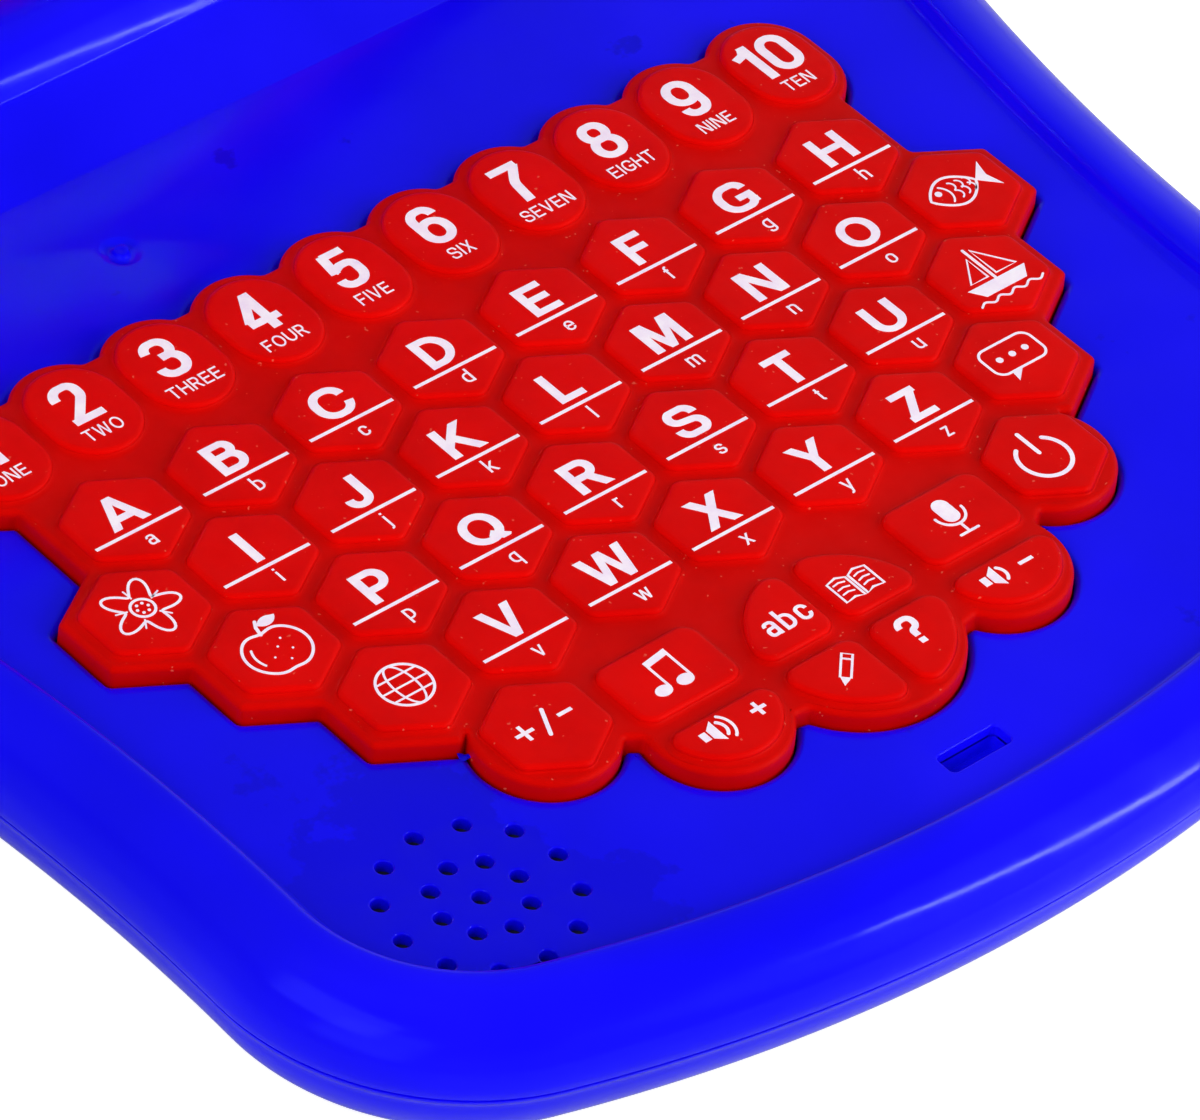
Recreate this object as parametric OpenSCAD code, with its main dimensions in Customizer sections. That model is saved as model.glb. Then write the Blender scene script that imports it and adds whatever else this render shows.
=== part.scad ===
// Toy laptop computer: a speaking letter-and-number learner with a hinged lid.
// Millimetres, +Z up, +X to the user's right, the user sits on the -Y side.
// Everything is drawn round the key plan, then moved so that the origin is the
// bottom centre of the box round the open laptop.

/* [Base outline] */
// Half width of the base at its waist
waist_half_w = 104.7; // [100:0.5:112]
// Distance of the waist in front of the key plan's centre line
waist_y = -44; // [-50:1:-38]
// Radius of the hollow sides
side_r = 326; // [260:2:400]
// Front edge of the base
front_y = -108.6; // [-112:0.2:-106]
// Radius of the bowed front edge
front_r = 255; // [220:5:300]
// Radius of the front corners
front_corner_r = 38.5; // [30:0.5:44]
// Radius of the rear corners of the base
rear_corner_r = 40; // [32:1:46]
// Radius of the rear corners of the lid
lid_corner_r = 34; // [26:1:40]

/* [Heights] */
// Height of the rubber feet
foot_h = 1.5; // [1:0.1:3]
// Depth of the lower case
tray_h = 18; // [17.4:0.2:21]
// From the parting line up to the deck
deck_rise = 2.8; // [2.4:0.1:3.4]
// From the deck up to the crest of the rim
rim_rise = 2.9; // [2:0.1:3]
// From the deck up to the soft web between the keys
mat_rise = 2.3; // [1.6:0.1:2.4]
// How far the key tops stand above the web
key_rise = 1; // [0.6:0.1:1.2]

/* [Walls] */
// Wall of the two case halves and the lid
wall = 2; // [1.6:0.1:2.4]
// Width of the rounded rim
rim_w = 12; // [10:0.5:13]
// Horizontal radius of the lower case's round side
tray_side = 12; // [9:0.5:14]
// Locating rib inside the parting line
rib_t = 1.2; // [0.8:0.1:1.6]
// Side clearance between case parts
fit_gap = 0.25; // [0.15:0.05:0.35]

/* [Keys] */
// Distance between neighbouring letter keys
pitch = 18.5; // [18.2:0.1:18.8]
// Distance between rows of letter keys
row_step = 15.5; // [15.3:0.1:15.7]
// Distance between number keys
number_pitch = 15.9; // [15.7:0.1:16.2]
// Width of a number key
number_w = 13.9; // [12:0.1:14]
// Height of a number key
number_h = 17.9; // [16:0.1:18]
// Half of the groove between two keys
groove = 1.1; // [0.9:0.05:1.4]
// Radius of the round mode pad
disc_r = 14.3; // [12.5:0.1:14.4]
// Clearance round a key in the mat
key_gap = 0.2; // [0.1:0.05:0.3]
// How far a key can be pressed
key_travel = 1; // [0.6:0.1:1.2]
// Width of the stop lip under a key
key_lip = 0.7; // [0.5:0.05:0.7]
// Thickness of the stop lip under a key
key_lip_t = 1; // [0.8:0.1:1.4]

/* [Mat and board] */
// Clearance between the mat and the deck opening
mat_gap = 0.3; // [0.2:0.05:0.5]
// Width of the mat's flange under the deck
mat_flange = 1.6; // [1:0.1:1.6]
// Thickness of the mat's flange
mat_flange_t = 1.4; // [1:0.1:1.6]
// Thickness of the circuit board
board_t = 1.6; // [1:0.1:1.8]
// Diameter of the pegs that hold the board
peg_d = 3; // [2.4:0.1:3.4]

/* [Hinge] */
// Hinge pin behind the key plan's centre line
hinge_y = 95.3; // [94:0.1:97]
// Hinge pin above the deck
hinge_rise = 0.4; // [0:0.1:1]
// Radius of the hinge hump round the pin
barrel_r = 10.5; // [10:0.1:11]
// Radius of the hump's crown
crown_r = 22; // [20:1:26]
// Slope of the hump's front face in degrees
slope_deg = 31; // [28:1:34]
// Half width of the hinge hump
hump_half_w = 64; // [56:1:66]
// Diameter of a hinge pin
pin_d = 4; // [3:0.1:5]
// Running clearance of the lid arms on the pins
pin_gap = 0.06; // [0.04:0.01:0.09]
// Radius of the lid arms and cheeks round the pin
arm_r = 8.5; // [7.5:0.1:8.6]
// Thickness of a lid arm
arm_t = 7.2; // [6:0.2:8]
// Thickness of an outer hinge cheek
cheek_t = 3.5; // [3:0.1:4.5]
// Side clearance of a lid arm
arm_gap = 0.4; // [0.3:0.05:0.6]
// How far the lid stands open at rest, in degrees
lid_open = 110; // [95:1:112]

/* [Lid] */
// Clearance between the closed lid and the base rim
lid_gap = 0.3; // [0.2:0.05:0.6]
// Depth of the lid from its crest to its back
lid_h = 15.5; // [14.5:0.1:18]
// How far the lid's rear edge lies in front of the hinge pins
lid_set_back = 2.8; // [2.6:0.1:5]
// Clearance between the lid frame and the hinge hump
frame_gap = 0.8; // [0.6:0.05:1.2]
// Thickness of the red lid frame
frame_t = 1.8; // [1.4:0.1:2.2]
// Rounding of the lid's outer edge
lid_edge_r = 7.5; // [6:0.5:8]
// Width of the screen opening
screen_w = 140; // [120:1:150]
// Height of the screen opening
screen_h = 92; // [80:1:100]
// Middle of the screen opening in front of the key plan's centre line
screen_y = -8; // [-14:1:-4]
// Thickness of the clear screen
window_t = 0.8; // [0.6:0.1:1]
// Thickness of the picture card
card_t = 0.4; // [0.3:0.1:0.6]
// Width of the latch tongue
latch_w = 8.5; // [7:0.1:9]
// Thickness of the latch tongue
latch_t = 1.9; // [1.5:0.1:2.2]
// Distance of the latch behind the front edge
latch_inset = 21.9; // [21:0.1:24]
// Clearance of the latch in its slot
latch_gap = 0.9; // [0.6:0.1:1.1]

/* [Speaker] */
// Diameter of the speaker
speaker_d = 29; // [27:0.5:30]
// Sideways place of the speaker
speaker_x = -70.6; // [-71:0.1:-69.5]
// Place of the speaker along the base
speaker_y = -69; // [-69.4:0.1:-68]
// Diameter of a grille hole
grille_hole_d = 2.4; // [1.6:0.1:2.6]
// Radius of the inner ring of holes
grille_r1 = 6.5; // [5.5:0.1:7]
// Radius of the outer ring of holes
grille_r2 = 13.2; // [11:0.1:13.2]

/* [Batteries] */
// Diameter of a cell
cell_d = 14.5; // [14:0.1:14.5]
// Length of a cell
cell_l = 50.5; // [49:0.1:50.5]
// Pitch of the cells
cell_pitch = 15; // [14.8:0.1:15.2]
// Middle cell behind the key plan's centre line
cell_y = 69.4; // [69:0.1:70]
// Room for the spring and contact at each end of a cell
contact_room = 3.2; // [2.6:0.1:4]
// Wall of the battery box
box_wall = 3; // [2.6:0.1:3.4]
// Thickness of the battery door
door_t = 1.5; // [1.2:0.1:1.8]
// Clearance round the battery door
door_gap = 0.3; // [0.2:0.05:0.5]

/* [Screws and feet] */
// Diameter of a case screw
screw_d = 2.6; // [2:0.1:3]
// Diameter of a case screw's head
screw_head_d = 5.4; // [4.6:0.1:5.8]
// Height of a screw head
screw_head_h = 1.6; // [1.2:0.1:2]
// Diameter of a rubber foot
foot_d = 12; // [9:0.5:13]
// Depth of the foot's pocket in the case
foot_pocket = 0.8; // [0.5:0.1:1]

/* [Hidden] */
LETTER_ROWS = ["abcdefgh", "ijklmno", "pqrstu", "vwxyz"];
LETTERS = [for (r = [0:3]) for (i = [0:len(LETTER_ROWS[r]) - 1]) [LETTER_ROWS[r][i], r, i]];
NUMBERS = [for (n = [1:10]) n];
KEY_GROUPS = ["left_side_keys", "right_side_keys", "mode_keys", "volume_keys",
              "key_plus_minus", "key_power"];

$fn = 48;
RING_FN = 240;    // fragments of a full circle on the big case curves
ARC_STEPS = 10;   // straight pieces in each arc of a drawn outline
CURVE_STEPS = 7;  // straight pieces in each rounded part of a wall's section
hair = 0.01;      // corner pieces of a wall are finer by this much
lap_l = 0.4;      // and run this far into their neighbours

BLUE = "#140AF0";
RED = "#D80A0A";
STEEL = "#B8BCC2";

// heights
tray_z = foot_h;
part_z = tray_z + tray_h;
deck_z = part_z + deck_rise;
deck_low_z = deck_z - wall;
crest_z = deck_z + rim_rise;
web_z = deck_z + mat_rise;
key_z = web_z + key_rise;
flange_z = deck_low_z - mat_flange_t;
lip_low_z = flange_z - key_lip_t;
board_play = 0.1;
board_z = lip_low_z - key_travel - board_play;
board_low_z = board_z - board_t;
rim_foot = 2.5;                       // run of the inner wall below the crest
deck_in = rim_w + rim_foot;           // inset at which the flat deck starts
groove_cut = 0.4;                     // chamfer on each side of the parting line
rib_h = 2.5;                          // locating rib's reach into the lower case

// hinge and hump
hinge_z = deck_z + hinge_rise;
roll_deg = 12;                        // tilt at which the crown meets the barrel
crown_c = [hinge_y - (barrel_r - crown_r) * sin(roll_deg),
           hinge_z + (barrel_r - crown_r) * cos(roll_deg)];
slope_top = crown_c + crown_r * [-sin(slope_deg), cos(slope_deg)];
hump_front_y = slope_top[0] - (slope_top[1] - deck_z) / tan(slope_deg);
rear_y = hinge_y + barrel_r - 1.2;
arm_x = hump_half_w + arm_gap;
cheek_x = arm_x + arm_t + arm_gap;
cheek_out_x = cheek_x + cheek_t;
rim_stop_x = cheek_out_x + 2;         // the rear rim ends here, outside the cheeks
pin_in = 3.5;                         // pin length inside the hump's end boss
pocket_wall = 1.6;
pocket_z = hinge_z - arm_r - 0.8;
pocket_y = hinge_y - arm_r - 0.8;

// lid, drawn closed
lid_low_z = crest_z + lid_gap;
lid_top_z = lid_low_z + lid_h;
frame_z = hinge_z + barrel_r + frame_gap;
window_z = frame_z + frame_t;
card_z = window_z + window_t;
lid_in_z = lid_top_z - wall;
lid_rear_y = hinge_y - lid_set_back;
frame_in = rim_w + 1;                 // inset of the lip that the frame rests on
latch_y = front_y + latch_inset;
screen_seat = 5;                      // the window laps the frame by this much

// keys
row_norm = sqrt(pow(pitch / 2, 2) + pow(row_step, 2));
row0_y = 10.6;
number_y = 30.6;
row4_y = row_y(4);                    // where a fifth row of letters would lie
corner_key = [2.5 * pitch - 1.05, row4_y - 0.9];      // plus-minus and power
song_key = [1.5 * pitch - 1.95, row4_y - 3];          // the keys beside the mode pad
song_size = [pitch - 1.1, 12];
volume_r = 9.1;
volume_c = [song_key[0] - 0.4, row4_y - 12];
disc_c = [0, row4_y - 10.7];
key_hole = groove - key_gap;
border = 0.9;                         // mat outside the cell of an edge key
scallop_r = 8.7;
scallop_y = 33.1;
scallop_floor = 38.9;
corner_lobe_r = 10.3;
volume_lobe = [volume_c[0], volume_c[1] - 0.5, volume_r + 1.4];
disc_lobe_r = disc_r + 1.6;

// board
board_half_w = 4.5 * pitch + 3.25;
board_side_y = row_y(2) + 0.4;
board_front = [corner_key[0] - 0.7, disc_c[1] - disc_r - 3.6];
pegs = [[4.5 * pitch - 1.75, row_y(0) + 2.4], [4.5 * pitch - 3.75, row_y(2) - 2.6],
        [corner_key[0] - 5.2, corner_key[1] - 22.2]];
peg_post_d = 4.4;

// screws
case_screws_at = [[30, -93], [93, -12], [60, 62]];
boss_d = 7.2;
post_d = 6.8;
screw_seat_z = tray_z + 3.5;
boss_top_z = 16.2;
lid_screws_at = [[86, -44], [92, 48]];
lid_boss_d = 6.4;
lid_head_d = 5;
lid_seat = 1.6;                       // lid screw heads sit this deep
pilot_gap = 0.05;
feet_at = [[71, -71], [90, 76]];

// battery box
box_half_w = cell_l / 2 + contact_room;
cells_y = [for (i = [-1:1]) cell_y + i * cell_pitch];
box_y = [cells_y[0] - cell_d / 2 - 0.4, cells_y[2] + cell_d / 2 + 0.4];
board_rear_y = box_y[0] - box_wall - fit_gap;
cell_z = tray_z + wall + 0.8 + cell_d / 2;
box_roof_z = cell_z + cell_d / 2 + 0.3;
roof_t = 1.1;
door_seat = 1.6;                      // the door laps its ledge by this much
tab_x = box_half_w + 7.5;             // screw tab of the door
tab_d = 9;
door_boss_t = 1.5;

// speaker
magnet_d = 16;
speaker_h = 9;
ring_wall = 1.2;
ring_h = 3;

// plain helpers -------------------------------------------------------------

function polar(c, r, a) = c + r * [cos(a), sin(a)];
function arc(c, r, a0, a1, n = ARC_STEPS) = [for (i = [0:n]) polar(c, r, a0 + (a1 - a0) * i / n)];
function direction(v) = atan2(v[1], v[0]);
function mirrored(pts) = [for (i = [len(pts) - 1:-1:0]) [-pts[i][0], pts[i][1]]];

module both_sides() {
    children();
    mirror([1, 0, 0]) children();
}

module slab(z0, z1) {
    translate([0, 0, z0]) linear_extrude(z1 - z0) children();
}

module block(lo, hi) {
    translate(lo) cube(hi - lo);
}

module round_rect(w, h, r) {
    square([w - 2 * r, h], center = true);
    square([w, h - 2 * r], center = true);
    for (x = [-1, 1], y = [-1, 1]) translate([x * (w / 2 - r), y * (h / 2 - r)]) circle(r);
}

// a section in the Y-Z plane drawn out along X between x0 and x1
module along_x(x0, x1) {
    translate([x0, 0, 0]) rotate([90, 0, 90]) linear_extrude(x1 - x0) children();
}

// outline -------------------------------------------------------------------
// Tangent arcs: bowed front, round front corner, hollow side, round rear corner.

front_c = [0, front_y + front_r];
side_c = [waist_half_w + side_r, waist_y];

// where two circles round c1 and c2 cross, on the left hand of the line c1 to c2
function crossing(c1, r1, c2, r2) =
    let (v = c2 - c1, d = norm(v), a = (r1 * r1 - r2 * r2 + d * d) / (2 * d),
         h = sqrt(r1 * r1 - a * a), u = v / d)
    c1 + a * u + h * [u[1], -u[0]];

front_corner_c = crossing(front_c, front_r - front_corner_r, side_c, side_r + front_corner_r);
function rear_c(edge_y, r) =
    [side_c[0] - sqrt(pow(side_r + r, 2) - pow(edge_y - r - side_c[1], 2)), edge_y - r];

// [centre, radius, start angle, end angle, +1 where the edge bulges out, -1 where it is hollow]
function edge_arcs(rear_edge, r) =
    let (c = rear_c(rear_edge, r),
         a1 = direction(front_corner_c - front_c),
         a2 = direction(side_c - front_corner_c),
         a3 = direction(side_c - c))
    [[front_corner_c, front_corner_r, a1, a2, 1],
     [side_c, side_r, 180 + a2, 180 + a3, -1],
     [c, r, a3, 90, 1]];

function edge_half(rear_edge, r, inset) =
    let (a1 = direction(front_corner_c - front_c))
    concat(arc(front_c, front_r - inset, -90, a1),
           [for (a = edge_arcs(rear_edge, r)) each arc(a[0], a[1] - a[4] * inset, a[2], a[3])]);

module outline(rear_edge, r, inset) {
    half = edge_half(rear_edge, r, inset);
    polygon(concat(half, mirrored(half)));
}

function signed_area(p) =
    let (q = [for (i = [0:len(p) - 1]) cross(p[i], p[(i + 1) % len(p)])])
    q * [for (v = q) 0.5];

// the closed section drawn in by "e" on every edge
function drawn_in(p, e) =
    let (n = len(p), side = signed_area(p) > 0 ? 1 : -1)
    [for (i = [0:n - 1])
        let (a = p[i] - p[(i + n - 1) % n], b = p[(i + 1) % n] - p[i],
             u = side * [-a[1], a[0]] / norm(a), v = side * [-b[1], b[0]] / norm(b))
        p[i] + e * (u + v) / (1 + u * v)];

module turned(c, r, bulge, a0, a1, section) {
    translate([c[0], c[1], 0]) rotate([0, 0, a0]) rotate_extrude(angle = a1 - a0, $fn = RING_FN)
        polygon([for (p = section) [r - bulge * p[0], p[1]]]);
}

// a wall section [inset, z] carried round the outline; each corner piece is
// finer by a hair and runs on inside its neighbours, so that all join cleanly
module carried(rear_edge, r, section) {
    a1 = direction(front_corner_c - front_c);
    turned(front_c, front_r, 1, -180 - a1, a1, section);
    both_sides() for (a = edge_arcs(rear_edge, r)) {
        lap = a[4] > 0 ? lap_l / a[1] * 180 / PI : 0;
        turned(a[0], a[1], a[4], min(a[2], a[3]) - lap, max(a[2], a[3]) + lap,
               a[4] > 0 ? drawn_in(section, hair) : section);
    }
    flat = rear_c(rear_edge, r)[0];
    along_x(-flat, flat) polygon([for (p = section) [rear_edge - p[0], p[1]]]);
}

// a quarter ellipse of half width w and height h from the crest down to the edge
function dome(w, h, inset, z, n = CURVE_STEPS) =
    [for (i = [0:n]) let (t = 90 * i / n) [inset + w * cos(t), z + h * sin(t)]];

// lower case ----------------------------------------------------------------

module tray_wall() {
    side_h = tray_h - 2;
    carried(rear_y, rear_corner_r, concat(
        [[groove_cut, part_z], [0, part_z - groove_cut]],
        [for (i = [0:CURVE_STEPS]) let (t = 90 * i / CURVE_STEPS)
            [tray_side * (1 - cos(t)), tray_z + side_h * (1 - sin(t))]],
        [[tray_side + 4, tray_z], [tray_side + 4, tray_z + wall]],
        [for (i = [CURVE_STEPS:-1:0]) let (t = 90 * i / CURVE_STEPS)
            [tray_side - (tray_side - wall) * cos(t),
             tray_z + wall + (side_h - wall) * (1 - sin(t))]],
        [[wall, part_z]]));
}

module battery_box_2d(grow) {
    translate([0, (box_y[0] + box_y[1]) / 2])
        square([2 * (box_half_w + grow), box_y[1] - box_y[0] + 2 * grow], center = true);
}

module door_2d(clear) {
    battery_box_2d(door_seat + clear);
    translate([0, cell_y - tab_d / 2 - clear]) square([tab_x, tab_d + 2 * clear]);
    translate([tab_x, cell_y]) circle(tab_d / 2 + clear);
}

module lower_case() {
    color(BLUE) difference() {
        union() {
            tray_wall();
            slab(tray_z, tray_z + wall) outline(rear_y, rear_corner_r, tray_side + 3.5);
            slab(tray_z, box_roof_z + roof_t) battery_box_2d(box_wall);
            both_sides() {
                for (p = case_screws_at) translate(p) slab(tray_z, boss_top_z) circle(d = boss_d);
                block([arm_x - arm_gap - pocket_wall, pocket_y - pocket_wall, pocket_z - pocket_wall],
                      [cheek_x + pocket_wall, rear_y - wall / 2, part_z]);
            }
            translate([tab_x, cell_y]) slab(tray_z, tray_z + 9.5) circle(d = tab_d + 4);
        }
        slab(tray_z - 1, tray_z + door_t) door_2d(door_gap);
        slab(tray_z, box_roof_z) battery_box_2d(0);
        translate([tab_x, cell_y]) {
            slab(tray_z, tray_z + door_t + door_boss_t) circle(d = tab_d + 2 * door_gap);
            slab(tray_z, tray_z + 8.5) circle(d = screw_d + 2 * pilot_gap);
        }
        both_sides() {
            for (p = case_screws_at) translate(p) {
                slab(tray_z - 1, screw_seat_z) circle(d = screw_head_d + 1);
                slab(tray_z, part_z) circle(d = screw_d + 0.6);
            }
            block([arm_x - arm_gap, pocket_y, pocket_z], [cheek_x, rear_y + 1, part_z + 1]);
            for (p = feet_at) translate(p)
                slab(tray_z - 1, tray_z + foot_pocket) circle(d = foot_d + 0.3);
        }
    }
}

// upper case ----------------------------------------------------------------

// the rim: crest on the inside, falling in a low dome to the parting line
function rim_section() =
    let (rise = crest_z - part_z - groove_cut, rib_in = wall + fit_gap + rib_t,
         inner = [rim_w - 1, crest_z - wall - part_z])
    concat(dome(-rim_w, rise, rim_w, part_z + groove_cut),
        [[rim_w + 0.9, crest_z - 0.5], [rim_w + 1.4, crest_z - 1.2], [rim_w + 1.6, deck_z + 0.5],
         [deck_in, deck_z - 2 * hair], [deck_in + 1.5, deck_z - 2 * hair],
         [deck_in + 1.5, deck_low_z],
         [rim_w - 0.4, deck_low_z], [rim_w - 0.6, crest_z - wall - 0.6]],
        [for (i = [CURVE_STEPS:-1:1])
            let (t = 90 * i / CURVE_STEPS, d = inner[0] - (inner[0] - wall) * cos(t))
            if (d > rib_in + 0.1) [d, part_z + inner[1] * sin(t)]],
        [[rib_in, part_z + inner[1] * sqrt(1 - pow((inner[0] - rib_in) / (inner[0] - wall), 2))],
         [rib_in, part_z - rib_h], [rib_in - rib_t, part_z - rib_h], [rib_in - rib_t, part_z],
         [groove_cut, part_z]]);

function hump_line(inset) =
    let (front = hump_front_y + inset * tan(slope_deg / 2), end = part_z - hinge_z,
         r = barrel_r - inset)
    concat([[front, deck_z - inset]],
           arc(crown_c, crown_r - inset, 90 + slope_deg, 90 + roll_deg, CURVE_STEPS),
           [for (p = arc([hinge_y, hinge_z], r, 90 + roll_deg, asin(end / r), 2 * CURVE_STEPS)) p]);

module mat_outline(grow) {
    side_x = 4 * pitch + border + grow;
    neck_y = number_y - 9.8;
    for (n = [0:9]) translate([number_x(n), scallop_y]) circle(scallop_r + grow);
    for (n = [0, 9]) translate([number_x(n), number_y - (number_h - number_w) / 2])
        circle(scallop_r + grow);
    polygon([[-number_x(9), scallop_y], [number_x(9), scallop_y], [side_x, neck_y],
             [side_x, row_y(0) - 5], [-side_x, row_y(0) - 5], [-side_x, neck_y]]);
    square_to(number_x(9), neck_y, scallop_floor + grow);
    square_to(number_x(9) + scallop_r + grow, number_y - 2, scallop_y);
    for (x = [-4, 4]) translate([x * pitch, row_y(1)]) hex(-border - grow);
    for (x = [-3.5:3.5]) translate([x * pitch, row_y(0)]) hex(-border - grow);
    for (x = [-3.5, 3.5]) translate([x * pitch, row_y(2)]) hex(-border - grow);
    for (x = [-3, 3]) translate([x * pitch, row_y(3)]) hex(-border - grow);
    both_sides_2d() {
        translate(corner_key) circle(corner_lobe_r + grow);
        translate([volume_lobe[0], volume_lobe[1]]) circle(volume_lobe[2] + grow);
    }
    translate(disc_c) circle(disc_lobe_r + grow);
    polygon([[-4 * pitch, row_y(1)], [-3.5 * pitch, row_y(2)], [-3 * pitch, row_y(3)],
             [-corner_key[0] - 3, corner_key[1]], [-volume_lobe[0], volume_lobe[1] - 4],
             [0, disc_c[1] - 10],
             [volume_lobe[0], volume_lobe[1] - 4], [corner_key[0] + 3, corner_key[1]],
             [3 * pitch, row_y(3)], [3.5 * pitch, row_y(2)], [4 * pitch, row_y(1)],
             [3.5 * pitch, neck_y], [-3.5 * pitch, neck_y]]);
}

module square_to(half_w, y0, y1) {
    translate([-half_w, y0]) square([2 * half_w, y1 - y0]);
}

module both_sides_2d() {
    children();
    mirror([1, 0]) children();
}

module grille_holes() {
    translate([speaker_x, speaker_y]) {
        circle(d = grille_hole_d);
        for (a = [0:45:315]) translate(polar([0, 0], grille_r1, a)) circle(d = grille_hole_d);
        for (a = [0:30:330]) translate(polar([0, 0], grille_r2, a)) circle(d = grille_hole_d);
    }
}

module hump() {
    outer = hump_line(0);
    inner = hump_line(wall);
    along_x(-hump_half_w, hump_half_w)
        polygon(concat(outer, [for (i = [len(inner) - 1:-1:0]) inner[i]]));
    both_sides() along_x(hump_half_w - wall, hump_half_w)
        polygon(concat(outer, [[hump_front_y + 6, part_z + 0.8]]));
}

module above_parting() {
    intersection() {
        children();
        translate([hinge_y - 2 * arm_r, part_z]) square(4 * arm_r);
    }
}

module hinge_bosses() {
    both_sides() {
        along_x(hump_half_w - pin_in - 1, hump_half_w - wall / 2) above_parting()
            translate([hinge_y, hinge_z]) circle(d = pin_d + 5);
        along_x(cheek_x, cheek_out_x) {
            above_parting() translate([hinge_y, hinge_z]) circle(arm_r);
            translate([hinge_y - arm_r, part_z]) square([2 * arm_r, hinge_z - part_z]);
        }
    }
}

module upper_posts() {
    both_sides() {
        for (p = case_screws_at) translate(p) slab(boss_top_z, deck_low_z + 0.5) circle(d = post_d);
        for (p = pegs) translate(p) {
            slab(board_z, deck_low_z + 0.5) circle(d = peg_post_d);
            slab(board_low_z - 0.8, board_z + 1) circle(d = peg_d);
        }
    }
    translate([speaker_x, speaker_y]) slab(deck_low_z - ring_h, deck_low_z + 0.5) difference() {
        circle(speaker_d / 2 + 0.3 + ring_wall);
        circle(speaker_d / 2 + 0.3);
    }
}

gate_mark = [-28.5, 55.8];

module upper_case() {
    color(BLUE) difference() {
        union() {
            difference() {
                union() {
                    carried(rear_y, rear_corner_r, rim_section());
                    slab(deck_low_z + 2 * hair, deck_z)
                        outline(rear_y, rear_corner_r, deck_in + 1);
                }
                block([-rim_stop_x, rear_y - deck_in - 2, part_z - 4],
                      [rim_stop_x, rear_y + 1, crest_z + 1]);
                block([-hump_half_w + wall, hump_front_y + 3, deck_low_z - 1],
                      [hump_half_w - wall, rear_y, deck_z + 1]);
            }
            both_sides() {
                block([hump_half_w - wall, rear_y - deck_in - 3, deck_low_z],
                      [rim_stop_x + 1, rear_y, deck_z]);
                block([hump_half_w - wall, rear_y - wall, part_z], [rim_stop_x + 1, rear_y, deck_z]);
                along_x(rim_stop_x, rim_stop_x + wall) polygon(concat(
                    [[rear_y - deck_in, part_z], [rear_y - deck_in, deck_z]],
                    [for (p = dome(-rim_w, crest_z - part_z - groove_cut, rim_w, part_z + groove_cut))
                        if (p[0] > 0.5) [rear_y - rim_w * 2 + p[0] - 0.3, p[1] - 0.3]],
                    [[rear_y - 0.4, part_z]]));
            }
            hump();
            hinge_bosses();
            upper_posts();
        }
        slab(deck_low_z - 1, deck_z + 1) mat_outline(mat_gap);
        slab(deck_low_z - 1, deck_z + 0.3) grille_holes();
        slab(deck_low_z - 1, deck_z + 1) translate([0, latch_y])
            round_rect(latch_w + 2 * latch_gap + 0.6, latch_t + 2 * latch_gap, 0.8);
        translate(gate_mark) slab(deck_z - 0.7, deck_z + 1) difference() {
            circle(d = 5.4);
            circle(d = 2.4);
        }
        both_sides() {
            block([arm_x - arm_gap, pocket_y, part_z - 1], [cheek_x, rear_y + 1, deck_z + 1]);
            for (p = case_screws_at) translate(p)
                slab(boss_top_z - 1, deck_low_z) circle(d = screw_d + 2 * pilot_gap);
            along_x(hump_half_w - pin_in, cheek_out_x + 1)
                translate([hinge_y, hinge_z]) circle(d = pin_d + 2 * pilot_gap);
        }
    }
}

// keys ----------------------------------------------------------------------

function row_y(r) = row0_y - r * row_step;
function letter_x(r, i) = (i - (len(LETTER_ROWS[r]) - 1) / 2) * pitch;
function number_x(n) = (n - 4.5) * number_pitch;

// the cell of the key lattice, pulled in by "inset" on every side
module hex(inset) {
    hx = pitch / 2 - inset;
    k = pow(row_norm, 2) / 2 - inset * row_norm;
    y0 = k / row_step;
    y1 = (k - pitch / 2 * hx) / row_step;
    polygon([[hx, y1], [0, y0], [-hx, y1], [-hx, -y1], [0, -y0], [hx, -y1]]);
}

module stadium(grow) {
    r = number_w / 2;
    for (y = [-1, 1]) translate([0, y * (number_h / 2 - r)]) circle(r + grow);
    square([2 * (r + grow), number_h - 2 * r], center = true);
}

module half_round(grow) {
    intersection() {
        circle(volume_r + grow);
        translate([-volume_r * 2, -volume_r * 2]) square([volume_r * 4, volume_r * 2 + grow]);
    }
}

module quarter(grow) {
    intersection() {
        circle(disc_r + grow);
        translate([groove - grow, groove - grow]) square(disc_r * 2);
    }
}

module song_shape(grow) {
    round_rect(song_size[0] + 2 * grow, song_size[1] + 2 * grow, 2.5 + grow);
}

// the shapes of all keys in a group, grown outwards by "grow"
module group_2d(name, grow) {
    if (name == "left_side_keys" || name == "right_side_keys") {
        side = name == "left_side_keys" ? -1 : 1;
        for (k = [[4, 1], [3.5, 2], [3, 3]])
            translate([side * k[0] * pitch, row_y(k[1])]) hex(groove - grow);
    }
    if (name == "mode_keys") {
        for (a = [0:90:270]) translate(disc_c) rotate(a) quarter(grow);
        both_sides_2d() translate(song_key) song_shape(grow);
    }
    if (name == "volume_keys") both_sides_2d() translate(volume_c) half_round(grow);
    if (name == "key_plus_minus") translate([-corner_key[0], corner_key[1]]) hex(groove - grow);
    if (name == "key_power") translate(corner_key) hex(groove - grow);
}

module letter_2d(l, grow) {
    translate([letter_x(l[1], l[2]), row_y(l[1])]) hex(groove - grow);
}

module number_2d(n, grow) {
    translate([number_x(n - 1), number_y]) stadium(grow);
}

// child 0 is the key's own shape, child 1 the stop lip below the mat
module key_solid() {
    color(RED) {
        slab(lip_low_z, key_z) children(0);
        slab(lip_low_z, flange_z) children(1);
    }
}

module all_keys_2d(grow) {
    for (l = LETTERS) letter_2d(l, grow);
    for (n = NUMBERS) number_2d(n, grow);
    for (g = KEY_GROUPS) group_2d(g, grow);
}

// mat, board and sound ------------------------------------------------------

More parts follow.
